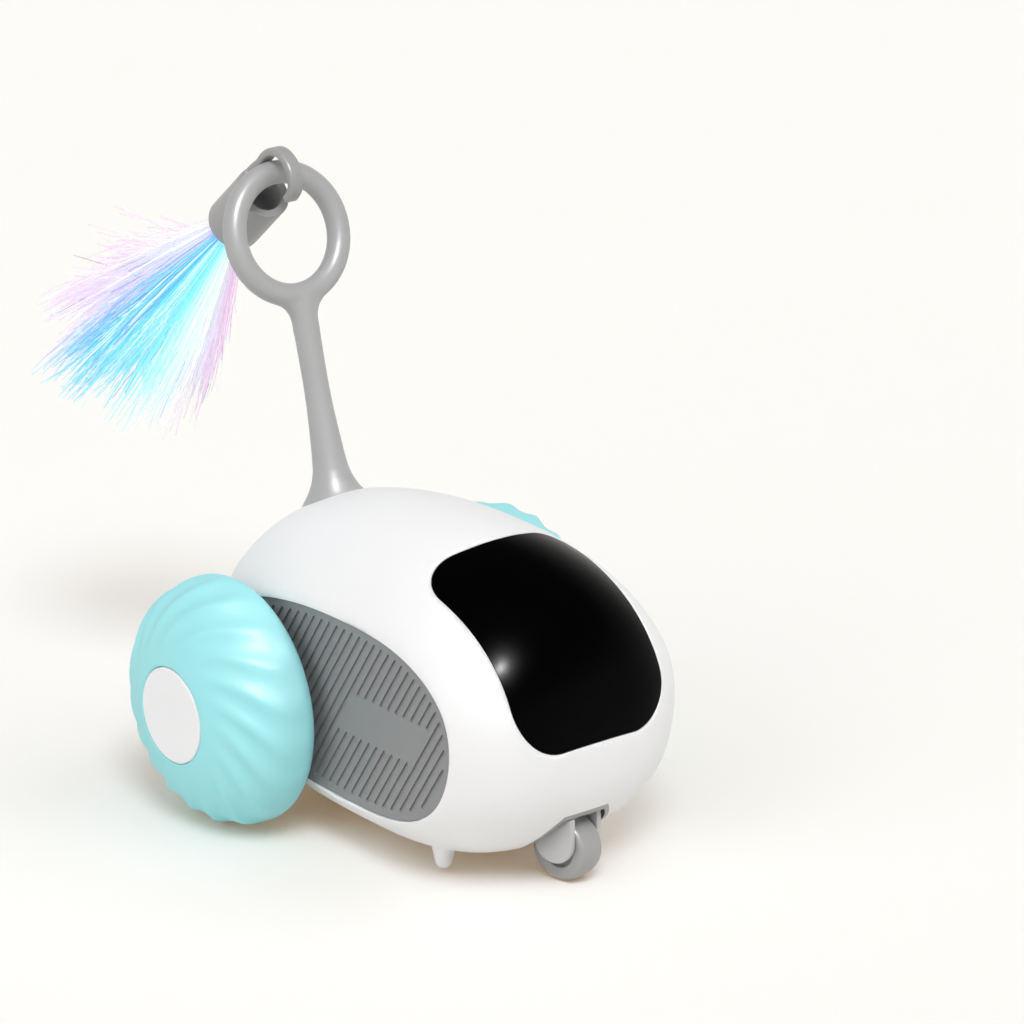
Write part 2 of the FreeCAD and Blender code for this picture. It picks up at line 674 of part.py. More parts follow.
def wheel_axle():
    """Steel axle of the left wheel, from the gear case to the hub."""
    return rod_x(AXLE_RADIUS, CASE_INNER_X - BUSH_FLANGE_THICK, AXLE_END_X, 0, AXLE_Z)


def axle_bush():
    """Flanged bush in the left side wall and panel."""
    face = FLAT_X - PANEL_SUNK
    sleeve = rod_x(BUSH_RADIUS, FLAT_X - PANEL_SUNK - PANEL_THICK - PANEL_WALL, face, 0, AXLE_Z)
    flange = rod_x(BUSH_FLANGE_RADIUS, face, face + BUSH_FLANGE_THICK, 0, AXLE_Z)
    bore = rod_x(AXLE_RADIUS + FIT_GAP, 0, WHEEL_FACE, 0, AXLE_Z)
    return sleeve.fuse(flange).cut(bore)


# Drive

def gear_outline(teeth, first_turn):
    """A flat gear face in the YZ plane; first_turn is the angle of the first tooth in degrees."""
    pitch_radius = GEAR_MODULE * teeth / 2.0
    slope = math.tan(math.radians(PRESSURE_ANGLE))
    half_pitch_tooth = math.pi * GEAR_MODULE / 4.0 - TOOTH_PLAY
    addendum = GEAR_MODULE
    dedendum = 1.25 * GEAR_MODULE
    levels = [
        (pitch_radius - dedendum, half_pitch_tooth + dedendum * slope),
        (pitch_radius, half_pitch_tooth),
        (pitch_radius + addendum, half_pitch_tooth - addendum * slope),
    ]
    points = []
    for index in range(teeth):
        middle = math.radians(first_turn) + 2.0 * math.pi * index / teeth
        for radius, half in levels:
            turn = middle - half / radius
            points.append(Vector(0, radius * math.cos(turn), radius * math.sin(turn)))
        for radius, half in reversed(levels):
            turn = middle + half / radius
            points.append(Vector(0, radius * math.cos(turn), radius * math.sin(turn)))
    points.append(points[0])
    return Part.Face(Part.makePolygon(points))


def gear(teeth, first_turn, x0, x1, y):
    """A spur gear about a line along X through (y, axle height)."""
    face = gear_outline(teeth, first_turn)
    face.translate(Vector(x0, y, AXLE_Z))
    return face.extrude(Vector(x1 - x0, 0, 0))


def output_gear():
    """Big gear on the wheel axle."""
    wheel = gear(BIG_TEETH, 180.0, OUTPUT_X, OUTPUT_X + OUTPUT_FACE, 0)
    return wheel.cut(rod_x(AXLE_RADIUS, OUTPUT_X - 1.0, OUTPUT_X + OUTPUT_FACE + 1.0, 0, AXLE_Z))


def compound_gear():
    """Idle pair: the big gear takes the motor pinion, the small one drives the output gear."""
    big_x = CASE_INNER_X + CASE_WALL + GEAR_SIDE_GAP
    half_step = 180.0 / SMALL_TEETH
    big = gear(BIG_TEETH, 180.0, big_x, big_x + COMPOUND_FACE, COMPOUND_Y)
    small = gear(SMALL_TEETH, half_step, big_x + COMPOUND_FACE, OUTPUT_X + OUTPUT_FACE, COMPOUND_Y)
    bore = rod_x(COMPOUND_PIN_RADIUS + FIT_GAP, big_x - 1.0, FLAT_X, COMPOUND_Y, AXLE_Z)
    return big.fuse(small).cut(bore)


def compound_pin():
    """Steel pin that carries the idle pair, from the gear case to the side wall."""
    end = FLAT_X - PANEL_SUNK - PANEL_THICK - PANEL_WALL / 2.0
    return rod_x(COMPOUND_PIN_RADIUS, CASE_INNER_X, end, COMPOUND_Y, AXLE_Z)


def motor_pinion():
    """Small gear on the motor shaft."""
    start = CASE_INNER_X + CASE_WALL + GEAR_SIDE_GAP
    half_step = 180.0 / SMALL_TEETH
    pinion = gear(SMALL_TEETH, half_step, start, start + PINION_FACE, MOTOR_Y)
    return pinion.cut(rod_x(MOTOR_SHAFT_RADIUS, start - 1.0, start + PINION_FACE + 1.0, MOTOR_Y, AXLE_Z))


def motor_shaft():
    """Steel shaft of the left motor."""
    end = CASE_INNER_X + CASE_WALL + GEAR_SIDE_GAP + PINION_FACE
    return rod_x(MOTOR_SHAFT_RADIUS, CASE_INNER_X - MOTOR_SHAFT_DEPTH, end, MOTOR_Y, AXLE_Z)


def motor():
    """Left motor: a steel can with two flats and a bearing boss in the gear case's wall."""
    can = rod_x(MOTOR_RADIUS, CASE_INNER_X - MOTOR_LENGTH, CASE_INNER_X, MOTOR_Y, AXLE_Z)
    keep = block(
        0, CASE_INNER_X, MOTOR_Y - MOTOR_RADIUS, MOTOR_Y + MOTOR_RADIUS,
        AXLE_Z - MOTOR_HALF_FLAT, AXLE_Z + MOTOR_HALF_FLAT)
    boss = rod_x(MOTOR_BOSS_RADIUS, CASE_INNER_X, CASE_INNER_X + MOTOR_BOSS_LENGTH, MOTOR_Y, AXLE_Z)
    bore = rod_x(
        MOTOR_SHAFT_RADIUS + FIT_GAP, CASE_INNER_X - MOTOR_SHAFT_DEPTH - RUN_GAP,
        CASE_INNER_X + MOTOR_BOSS_LENGTH + 1.0, MOTOR_Y, AXLE_Z)
    return can.common(keep).fuse(boss).cut(bore)


def stadium(inset, x0, x1):
    """The gear case's rounded outline, drawn in by the inset, as a slab along X."""
    radius = CASE_RADIUS - inset
    front = rod_x(radius, x0, x1, CASE_FRONT + CASE_RADIUS, AXLE_Z)
    rear = rod_x(radius, x0, x1, 0, AXLE_Z)
    middle = block(x0, x1, CASE_FRONT + CASE_RADIUS, 0, AXLE_Z - radius, AXLE_Z + radius)
    return union(front, rear, middle)


def gearbox_case():
    """Left gear case: a cup that opens onto the side wall, with screw lugs and board posts."""
    outer_x = FLAT_X - PANEL_SUNK - PANEL_THICK - PANEL_WALL
    body = stadium(0.0, CASE_INNER_X, outer_x)
    lugs = block(
        LUG_X, LUG_X + LUG_THICK, CASE_FRONT - LUG_LENGTH, CASE_REAR + LUG_LENGTH,
        AXLE_Z - LUG_HALF_HEIGHT, AXLE_Z + LUG_HALF_HEIGHT)
    case = body.fuse(lugs)
    for y in board_screw_rows():
        post_low = AXLE_Z + CASE_RADIUS - CASE_WALL
        case = case.fuse(rod_z(SCREW_BOSS_RADIUS, post_low, BOARD_Z, MAIN_BOARD_SCREW_X, y))
    cuts = [stadium(CASE_WALL, CASE_INNER_X + CASE_WALL, outer_x + 1.0)]
    for y in board_screw_rows():
        cuts.append(rod_z(SCREW_RADIUS, BOARD_Z - MAIN_BOARD_STAND, BOARD_Z, MAIN_BOARD_SCREW_X, y))
    for y in lug_places():
        cuts.append(rod_x(SCREW_RADIUS + FIT_GAP, LUG_X, LUG_X + LUG_THICK, y, AXLE_Z))
    reach = CASE_INNER_X + CASE_WALL + 1.0
    cuts.append(rod_x(AXLE_RADIUS + FIT_GAP, CASE_INNER_X, reach, 0, AXLE_Z))
    cuts.append(rod_x(COMPOUND_PIN_RADIUS, CASE_INNER_X, reach, COMPOUND_Y, AXLE_Z))
    cuts.append(rod_x(MOTOR_BOSS_RADIUS + FIT_GAP, CASE_INNER_X, reach, MOTOR_Y, AXLE_Z))
    return case.cut(cuts)


# Base cover, battery, boards and screws

def board_screw_rows():
    """Y of the two rows of main board screws."""
    rear = MAIN_BOARD_FRONT + MAIN_BOARD_LENGTH
    return [MAIN_BOARD_FRONT + MAIN_BOARD_SCREW_INSET, rear - MAIN_BOARD_SCREW_INSET]


def screw(x, y, z, direction, length):
    """A pan-head screw whose head's underside lies at the point and whose shank runs along direction."""
    base = Vector(x, y, z)
    shank = Part.makeCylinder(SCREW_RADIUS, length, base, direction)
    head = Part.makeCylinder(SCREW_HEAD_RADIUS, SCREW_HEAD, base - direction * SCREW_HEAD, direction)
    slot_depth = SCREW_HEAD / 2.0
    slot = Part.makeBox(
        SCREW_HEAD_RADIUS * 3.0, SCREW_RADIUS / 2.0, slot_depth,
        Vector(-SCREW_HEAD_RADIUS * 1.5, -SCREW_RADIUS / 4.0, 0))
    slot.Placement = Placement(base - direction * SCREW_HEAD, Rotation(Z_AXIS, direction)).multiply(slot.Placement)
    return head.fuse(shank).cut(slot)


def base_cover():
    """Belly cover with the battery cradle on its inside."""
    flange = cover_outline(0.0, BELLY_Z, BELLY_Z + COVER_THICK)
    top = BELLY_Z + COVER_THICK + LEDGE_THICK
    raised = cover_outline(COVER_LEDGE + SEAM_GAP, BELLY_Z, top)
    plate = union(flange, raised)
    gap = RUN_GAP + CRADLE_WALL
    half = BATTERY_HALF_WIDTH + gap
    rear = BATTERY_FRONT + BATTERY_LENGTH
    cradle = block(-half, half, BATTERY_FRONT - gap, rear + gap, top - 1.0, CRADLE_FLOOR + CRADLE_HIGH)
    room = block(
        -half + CRADLE_WALL, half - CRADLE_WALL, BATTERY_FRONT - RUN_GAP, rear + RUN_GAP,
        CRADLE_FLOOR, CRADLE_FLOOR + CRADLE_HIGH + 1.0)
    cuts = [room]
    for x, y in cover_screw_places():
        cuts.append(rod_z(SCREW_RADIUS + FIT_GAP, BELLY_Z, top, x, y))
        cuts.append(rod_z(SCREW_HEAD_RADIUS + SEAM_GAP, BELLY_Z, BELLY_Z + SCREW_HEAD, x, y))
    return plate.fuse(cradle).cut(cuts)


def battery():
    """Flat rechargeable cell in its cradle."""
    cell = block(
        -BATTERY_HALF_WIDTH, BATTERY_HALF_WIDTH, BATTERY_FRONT, BATTERY_FRONT + BATTERY_LENGTH,
        CRADLE_FLOOR, CRADLE_FLOOR + BATTERY_HIGH)
    long_edges = [edge for edge in cell.Edges if abs(edge.Vertexes[0].Y - edge.Vertexes[-1].Y) > 1.0]
    return cell.makeFillet(BATTERY_ROUND, long_edges)


def circuit_board():
    """Main board on the gear cases' posts, with its chip and a radio module."""
    rear = MAIN_BOARD_FRONT + MAIN_BOARD_LENGTH
    middle = (MAIN_BOARD_FRONT + rear) / 2.0
    board = block(
        -MAIN_BOARD_HALF_WIDTH, MAIN_BOARD_HALF_WIDTH, MAIN_BOARD_FRONT, rear, BOARD_Z, BOARD_Z + BOARD_THICK)
    holes = [rod_z(SCREW_RADIUS + FIT_GAP, BOARD_Z - 1.0, BOARD_Z + BOARD_THICK + 1.0, side * MAIN_BOARD_SCREW_X, y)
             for side in (-1, 1) for y in board_screw_rows()]
    top = BOARD_Z + BOARD_THICK
    half = CHIP_SIZE / 2.0
    chip = block(-half, half, middle - half, middle + half, top, top + CHIP_HIGH)
    module = block(-CHIP_SIZE * 2.0, -CHIP_SIZE, middle - CHIP_SIZE, middle + half, top, top + CHIP_HIGH)
    plug = block(CHIP_SIZE, CHIP_SIZE * 1.8, middle, middle + CHIP_SIZE, top, top + CHIP_HIGH * 3.0)
    return board.cut(holes).multiFuse([chip, module, plug])


def power_board():
    """Upright board in the tail end that carries the switch and the charging socket."""
    board = block(
        -POWER_BOARD_HALF_WIDTH, POWER_BOARD_HALF_WIDTH, POWER_BOARD_Y, POWER_BOARD_Y + BOARD_THICK,
        POWER_BOARD_LOW, POWER_BOARD_HIGH)
    holes = [rod_y(SCREW_RADIUS + FIT_GAP, POWER_BOARD_Y - 1.0, POWER_BOARD_Y + BOARD_THICK + 1.0,
                   side * POWER_BOARD_SCREW_X, POWER_BOARD_SCREW_Z) for side in (-1, 1)]
    return board.cut(holes)


def receiver_board():
    """Narrow board behind the visor for the remote control's receiver."""
    board = block(
        -RECEIVER_HALF_WIDTH, RECEIVER_HALF_WIDTH, RECEIVER_T - RECEIVER_HALF_HEIGHT,
        RECEIVER_T + RECEIVER_HALF_HEIGHT, RECEIVER_S, RECEIVER_S + BOARD_THICK)
    holes = [rod_z(SCREW_RADIUS + FIT_GAP, RECEIVER_S - 1.0, RECEIVER_S + BOARD_THICK + 1.0,
                   side * RECEIVER_BOSS_X, RECEIVER_T) for side in (-1, 1)]
    return receiver_place(board.cut(holes))


def receiver_eye():
    """The receiver's round-nosed sensor."""
    base = RECEIVER_S + BOARD_THICK
    barrel = rod_z(RECEIVER_EYE_RADIUS, base, base + RECEIVER_EYE_LENGTH, 0, RECEIVER_T)
    nose = Part.makeSphere(RECEIVER_EYE_RADIUS, Vector(0, RECEIVER_T, base + RECEIVER_EYE_LENGTH))
    return receiver_place(barrel.fuse(nose))


def cover_screws():
    """Four screws that hold the base cover."""
    length = COVER_THICK - SCREW_HEAD + LEDGE_THICK + SCREW_BITE - 1.0
    pieces = [screw(x, y, BELLY_Z + SCREW_HEAD, Z_AXIS, length - RUN_GAP) for x, y in cover_screw_places()]
    return Part.makeCompound(pieces)


def gearbox_screws():
    """Four screws that hold the gear cases, two on each side."""
    length = LUG_THICK + SCREW_BITE - 1.0 - RUN_GAP
    pieces = [screw(side * LUG_X, y, AXLE_Z, X_AXIS * side, length) for side in (-1, 1) for y in lug_places()]
    return Part.makeCompound(pieces)


def board_screws():
    """Screws of the three boards."""
    length = MAIN_BOARD_STAND + BOARD_THICK - RUN_GAP
    pieces = [screw(side * MAIN_BOARD_SCREW_X, y, BOARD_Z + BOARD_THICK, Z_AXIS * -1.0, length)
              for side in (-1, 1) for y in board_screw_rows()]
    length = BOARD_THICK + SCREW_BITE - 1.0 - RUN_GAP
    for side in (-1, 1):
        pieces.append(screw(side * POWER_BOARD_SCREW_X, POWER_BOARD_Y, POWER_BOARD_SCREW_Z, Y_AXIS, length))
        pieces.append(receiver_place(screw(side * RECEIVER_BOSS_X, RECEIVER_T, RECEIVER_S, Z_AXIS, length)))
    return Part.makeCompound(pieces)


# Tail end: button, switch and socket

def power_button():
    """Round push button with a flange that keeps it in the shell."""
    stem = rod_y(BUTTON_RADIUS, BUTTON_BACK, BUTTON_FACE, 0, BUTTON_Z)
    rim = [edge for edge in stem.Edges if abs(edge.CenterOfMass.y - BUTTON_FACE) < 1e-3]
    stem = stem.makeFillet(BUTTON_PROUD / 2.0, rim)
    flange = rod_y(BUTTON_RADIUS + BUTTON_FLANGE, BUTTON_BACK, BUTTON_BACK + BUTTON_FLANGE, 0, BUTTON_Z)
    return stem.fuse(flange)


def button_switch():
    """Push switch behind the button."""
    front = POWER_BOARD_Y + BOARD_THICK
    body = block(
        -SWITCH_HALF, SWITCH_HALF, front, front + SWITCH_DEEP - 1.0, BUTTON_Z - SWITCH_HALF, BUTTON_Z + SWITCH_HALF)
    plunger = rod_y(SWITCH_HALF / 2.0, front + SWITCH_DEEP - 1.0, front + SWITCH_DEEP, 0, BUTTON_Z)
    return body.fuse(plunger)


def port_prism(outset, y0, y1):
    """The charging socket's round-ended outline, drawn out by the outset, along Y."""
    half_width = PORT_HALF_WIDTH + outset
    half_height = PORT_HALF_HEIGHT + outset
    straight = half_width - half_height
    middle = block(-straight, straight, y0, y1, PORT_Z - half_height, PORT_Z + half_height)
    left = rod_y(half_height, y0, y1, straight, PORT_Z)
    right = rod_y(half_height, y0, y1, -straight, PORT_Z)
    return union(middle, left, right)


def charge_port():
    """Charging socket on the upright board, its mouth just inside the shell."""
    back = POWER_BOARD_Y + BOARD_THICK
    socket = port_prism(0.0, back, PORT_FRONT)
    return socket.cut(port_prism(-PORT_WALL, back + PORT_BACK, PORT_FRONT + 1.0))


# Caster

def caster_liner():
    """Grey cup in the nose in which the caster turns, with the boss for its pin."""
    top = WELL_CEILING + WELL_CEILING_THICK
    outer = rod_z(WELL_RADIUS + WELL_WALL, 0, top, 0, CASTER_PIVOT_Y)
    boss_top = WELL_CEILING + WELL_BOSS_LENGTH
    boss = rod_z(WELL_BOSS_RADIUS, top - 1.0, boss_top, 0, CASTER_PIVOT_Y)
    inner = rod_z(WELL_RADIUS, -1.0, WELL_CEILING, 0, CASTER_PIVOT_Y)
    bore = rod_z(FORK_PIN_RADIUS + FIT_GAP, WELL_CEILING - 1.0, boss_top + 1.0, 0, CASTER_PIVOT_Y)
    cup = outer.fuse(boss).cut([inner, bore])
    limits = block(-FLAT_X, FLAT_X, EGG_Y - EGG_FRONT, 0, BELLY_Z, EGG_Z)
    return cup.common(WHOLE_EGG).common(limits)


def caster_turned(shape):
    """Turn a piece of the caster about its upright pin."""
    shape.rotate(Vector(0, CASTER_PIVOT_Y, 0), Z_AXIS, CASTER_TURN)
    return shape


def caster_fork():
    """Swivel fork of the caster: bridge, pin and two round-ended legs with bosses in the wheel's recesses."""
    bridge_top = WELL_CEILING - RUN_GAP
    bridge_low = bridge_top - FORK_BRIDGE_THICK
    bridge = block(
        -CASTER_REACH, CASTER_REACH, CASTER_Y - FORK_BRIDGE_HALF_WIDTH, CASTER_Y + FORK_BRIDGE_HALF_WIDTH,
        bridge_low, bridge_top)
    pin = rod_z(FORK_PIN_RADIUS, bridge_low, CLIP_Z + CLIP_THICK + RUN_GAP, 0, CASTER_PIVOT_Y)
    leg_x = CASTER_WHEEL_WIDTH / 2.0 + RUN_GAP
    leg_z = CASTER_WHEEL_RADIUS + FORK_LEG_RAISE
    legs = []
    for side in (-1, 1):
        low, high = sorted((side * leg_x, side * CASTER_REACH))
        leg = block(
            low, high, CASTER_Y - FORK_LEG_HALF_WIDTH, CASTER_Y + FORK_LEG_HALF_WIDTH, leg_z, bridge_top)
        end = rod_x(FORK_LEG_HALF_WIDTH, low, high, CASTER_Y, leg_z)
        low, high = sorted((side * (leg_x - CASTER_RECESS_DEEP), side * CASTER_REACH))
        boss = rod_x(FORK_BOSS_RADIUS, low, high, CASTER_Y, CASTER_WHEEL_RADIUS)
        legs.append(union(leg, end, boss))
    bore_x = CASTER_REACH - FORK_LEG_SKIN
    bore = rod_x(CASTER_AXLE_RADIUS + FIT_GAP, -bore_x, bore_x, CASTER_Y, CASTER_WHEEL_RADIUS)
    return caster_turned(union(bridge, pin, *legs).cut(bore))


def swivel_clip():
    """Spring clip that keeps the fork's pin in its boss."""
    ring = rod_z(CLIP_RADIUS, CLIP_Z, CLIP_Z + CLIP_THICK, 0, CASTER_PIVOT_Y)
    return ring.cut(rod_z(FORK_PIN_RADIUS, CLIP_Z - 1.0, CLIP_Z + CLIP_THICK + 1.0, 0, CASTER_PIVOT_Y))


def caster_wheel():
    """Fat small wheel with round shoulders and a round recess in each side."""
    half = CASTER_WHEEL_WIDTH / 2.0
    web = half - CASTER_RECESS_DEEP
    edge = CASTER_WHEEL_RADIUS - CASTER_TREAD_CROWN
    shoulder = half - CASTER_TREAD_ROUND
    bend = CASTER_TREAD_ROUND * math.sqrt(0.5)
    side = [
        Vector(web, 0, 0), Vector(web, CASTER_RECESS_RADIUS, 0), Vector(half, CASTER_RECESS_RADIUS, 0),
        Vector(half, edge - CASTER_TREAD_ROUND, 0), Vector(shoulder + bend, edge - CASTER_TREAD_ROUND + bend, 0),
        Vector(shoulder, edge, 0),
    ]
    other = [Vector(-point.x, point.y, 0) for point in side]
    edges = [Part.Arc(side[5], Vector(0, CASTER_WHEEL_RADIUS, 0), other[5]).toShape()]
    edges.append(Part.LineSegment(side[0], other[0]).toShape())
    for points in (side, other):
        edges += [Part.LineSegment(points[index], points[index + 1]).toShape() for index in range(3)]
        edges.append(Part.Arc(points[3], points[4], points[5]).toShape())
    wheel = revolve_x(Part.__sortEdges__(edges))
    wheel.translate(Vector(0, CASTER_Y, CASTER_WHEEL_RADIUS))
    wheel = wheel.cut(rod_x(CASTER_AXLE_RADIUS, -half, half, CASTER_Y, CASTER_WHEEL_RADIUS))
    return caster_turned(wheel)


def caster_axle():
    """Steel pin of the small wheel."""
    end = CASTER_REACH - FORK_LEG_SKIN - FIT_GAP
    return caster_turned(rod_x(CASTER_AXLE_RADIUS, -end, end, CASTER_Y, CASTER_WHEEL_RADIUS))


# Tail and teaser

def tail_stem():
    """Soft stem: flared foot on the shell, neck and bulb through it, and the slim shaft above."""
    length = on_stem(0).distanceToPoint(Vector(0, RING_FOOT[0], RING_FOOT[1])) - STEM_SPLIT
    flare_low = -STEM_NECK_DEEP
    profile = Part.BSplineCurve()
    profile.interpolate([
        Vector(STEM_FOOT_RADIUS, 0, flare_low), Vector(STEM_FLARE_RADIUS, 0, 0.0),
        Vector(STEM_FLARE_END_RADIUS, 0, length * STEM_FLARE_END), Vector(STEM_LOW_RADIUS, 0, length * STEM_LOW),
        Vector(STEM_WAIST_RADIUS, 0, length * STEM_WAIST), Vector(STEM_TOP_RADIUS, 0, length)])
    edges = [
        profile.toShape(),
        Part.LineSegment(Vector(STEM_TOP_RADIUS, 0, length), Vector(0, 0, length)).toShape(),
        Part.LineSegment(Vector(0, 0, length), Vector(0, 0, flare_low)).toShape(),
        Part.LineSegment(Vector(0, 0, flare_low), Vector(STEM_FOOT_RADIUS, 0, flare_low)).toShape(),
    ]
    shaft = along_stem(Part.Face(Part.Wire(edges)).revolve(Vector(0, 0, 0), Z_AXIS, 360))
    shaft = shaft.cut(WHOLE_EGG)
    neck_length = STEM_NECK_DEEP + STEM_LOW_RADIUS
    neck = along_stem(Part.makeCylinder(STEM_NECK_RADIUS, neck_length, Vector(0, 0, -STEM_NECK_DEEP)))
    bulb_low = -STEM_NECK_DEEP - RETAINER_THICK - STEM_BULB_LONG
    link = Part.makeCylinder(STEM_NECK_RADIUS, RETAINER_THICK + 1.0, Vector(0, 0, -STEM_NECK_DEEP - RETAINER_THICK))
    bulb = Part.makeCylinder(STEM_BULB_RADIUS, STEM_BULB_LONG, Vector(0, 0, bulb_low))
    return union(shaft, neck, along_stem(link), along_stem(bulb))


def tail_retainer():
    """Washer inside the shell that the tail's bulb pulls against."""
    low = -STEM_NECK_DEEP - RETAINER_THICK
    ring = Part.makeCylinder(RETAINER_RADIUS, RETAINER_THICK, Vector(0, 0, low))
    hole = Part.makeCylinder(STEM_NECK_RADIUS + FIT_GAP, RETAINER_THICK + 2.0, Vector(0, 0, low - 1.0))
    return along_stem(ring.cut(hole))


def ring_up():
    """The unit vector from the ring's foot to its top."""
    lean = math.radians(RING_LEAN)
    return Vector(0, math.sin(lean), math.cos(lean))


def ring_centre():
    """Middle of the tail ring."""
    return Vector(0, RING_FOOT[0], RING_FOOT[1]) + ring_up() * RING_RADIUS


def oval(half_x, half_y, z):
    """A closed ellipse square to Z, at least as wide along X as along Y."""
    curve = Part.Ellipse(Vector(0, 0, z), max(half_x, half_y), half_y)
    return Part.Wire([curve.toShape()])


def ring_foot_sections():
    """Half width, half depth and height of the sections that widen from the stem into the ring."""
    outer = RING_RADIUS + RING_TUBE
    round_x = STEM_TOP_RADIUS + RING_FOOT_ROUND
    start = math.sqrt((outer + RING_FOOT_ROUND) ** 2 - round_x ** 2)
    end = start * outer / (outer + RING_FOOT_ROUND)
    sections = [(STEM_TOP_RADIUS, STEM_TOP_RADIUS, -STEM_SPLIT)]
    for index in range(RING_FOOT_STEPS + 1):
        share = index / RING_FOOT_STEPS
        below = start + (end - start) * share
        width = round_x - math.sqrt(RING_FOOT_ROUND ** 2 - (start - below) ** 2)
        depth = STEM_TOP_RADIUS + (RING_TUBE - FIT_GAP - STEM_TOP_RADIUS) * share
        sections.append((width, depth, RING_RADIUS - below))
    return sections


def tail_ring():
    """Soft ring at the tail's tip, flowing into the top of the stem."""
    normal = X_AXIS.cross(ring_up())
    ring = Part.makeTorus(RING_RADIUS, RING_TUBE, ring_centre(), normal)
    gusset = Part.makeLoft([oval(*section) for section in ring_foot_sections()], True, False)
    foot = Vector(0, RING_FOOT[0], RING_FOOT[1])
    gusset.Placement = Placement(foot, Rotation(Z_AXIS, stem_axis()))
    return ring.fuse(gusset)


def cup_axis():
    """The unit vector from the cup's mouth to its base: back and down."""
    drop = math.radians(CUP_DROP)
    return Vector(0, math.cos(drop), -math.sin(drop))


def along_cup(shape):
    """Turn a shape that was drawn along +Z from the origin onto the cup's axis."""
    shape.Placement = Placement(Vector(0, CUP_MOUTH[0], CUP_MOUTH[1]), Rotation(Z_AXIS, cup_axis()))
    return shape


def hook_band():
    """The open hook: a flat bar with round edges that runs from the cup's wall over the ring to its tip."""
    top = ring_centre() + ring_up() * RING_RADIUS
    eye = Vector(0, top.y - HOOK_EYE_BACK, top.z - HOOK_EYE_DROP)
    points = [eye + Vector(0, y, z) for y, z in HOOK_CURVE]
    path = Part.BSplineCurve()
    path.interpolate(points)
    half_width = HOOK_WIDTH / 2.0
    half_thick = HOOK_THICK / 2.0
    section = corner_rectangle(-half_width, half_width, -half_thick, half_thick, HOOK_ROUND, HOOK_ROUND).OuterWire
    start = path.tangent(path.FirstParameter)[0]
    section.rotate(Vector(0, 0, 0), X_AXIS, math.degrees(math.atan2(-start.y, start.z)))
    section.translate(points[0])
    sweep = Part.BRepOffsetAPI.MakePipeShell(Part.Wire([path.toShape()]))
    sweep.setBiNormalMode(X_AXIS)
    sweep.add(section)
    sweep.build()
    sweep.makeSolid()
    band = sweep.shape()
    reach = HOOK_WIDTH + HOOK_THICK
    tip = [edge for edge in band.Edges if edge.CenterOfMass.distanceToPoint(points[-1]) < reach / 2.0
           and edge.Length < reach]
    return band.makeFillet(HOOK_TIP_ROUND, tip)


def teaser_hook():
    """Grey cup with the hook that hangs on the tail ring."""
    outer = Part.makeCylinder(CUP_RADIUS, CUP_LENGTH)
    base_rim = [edge for edge in outer.Edges if abs(edge.CenterOfMass.z - CUP_LENGTH) < 1e-3
                and edge.Curve.TypeId == "Part::GeomCircle"]
    outer = outer.makeFillet(CUP_ROUND, base_rim)
    inner = Part.makeCylinder(CUP_RADIUS - CUP_WALL, CUP_LENGTH - CUP_WALL + 1.0, Vector(0, 0, -1.0))
    hole = Part.makeCylinder(FERRULE_RADIUS + FIT_GAP, CUP_LENGTH + 2.0)
    outer = along_cup(outer)
    body = outer.fuse(hook_band())
    return body.cut([along_cup(inner), along_cup(hole)])


def tassel_ferrule():
    """Crimped sleeve that holds the tassel's strands in the cup's base."""
    floor = CUP_LENGTH - CUP_WALL
    flange = Part.makeCylinder(FERRULE_FLANGE_RADIUS, FERRULE_FLANGE, Vector(0, 0, floor - FERRULE_FLANGE))
    sleeve = Part.makeCylinder(FERRULE_RADIUS, CUP_WALL + FERRULE_OUT, Vector(0, 0, floor))
    return along_cup(flange.fuse(sleeve))


def tassel_fibres():
    """The space that the spread strands fill: a cone with a round end."""
    root = Vector(0, 0, CUP_LENGTH + FERRULE_OUT)
    end_radius = TASSEL_ROOT_RADIUS + TASSEL_LENGTH * math.tan(math.radians(TASSEL_SPREAD))
    cone = Part.makeCone(TASSEL_ROOT_RADIUS, end_radius, TASSEL_LENGTH, root, Z_AXIS)
    return along_cup(cone.common(Part.makeSphere(TASSEL_LENGTH, root)))


# Places that follow from the sizes above
GEAR_CENTRES = GEAR_MODULE * (BIG_TEETH + SMALL_TEETH) / 2.0
COMPOUND_Y = -GEAR_CENTRES
MOTOR_Y = -2.0 * GEAR_CENTRES
OUTPUT_X = CASE_INNER_X + CASE_WALL + GEAR_SIDE_GAP + COMPOUND_FACE + GEAR_SIDE_GAP
CASE_RADIUS = GEAR_MODULE * (BIG_TEETH + 2) / 2.0 + RUN_GAP + CASE_WALL
CASE_REAR = CASE_RADIUS
CASE_FRONT = MOTOR_Y - GEAR_MODULE * (SMALL_TEETH + 2) / 2.0 - RUN_GAP - CASE_WALL
BOARD_Z = AXLE_Z + CASE_RADIUS + MAIN_BOARD_STAND
SLEEVE_X = FLAT_X - PANEL_SUNK + BUSH_FLANGE_THICK + RUN_GAP
AXLE_END_X = WHEEL_FACE - CAP_THICK - CAP_PLUG_LENGTH - RUN_GAP
BUTTON_FACE = EGG_Y + EGG_REAR + BUTTON_PROUD
BUTTON_BACK = BUTTON_FACE - BUTTON_LONG
PORT_FRONT = EGG_Y + EGG_REAR - SHELL_WALL - RUN_GAP * 2.0
CASTER_Y = CASTER_PIVOT_Y - CASTER_TRAIL
CASTER_REACH = CASTER_WHEEL_WIDTH / 2.0 + RUN_GAP + FORK_LEG_THICK
CLIP_Z = WELL_CEILING + WELL_BOSS_LENGTH + FIT_GAP
WHOLE_EGG = egg()
FLAT_SIDE_WIRE = max(WHOLE_EGG.slice(X_AXIS, FLAT_X), key=lambda wire: wire.Length)

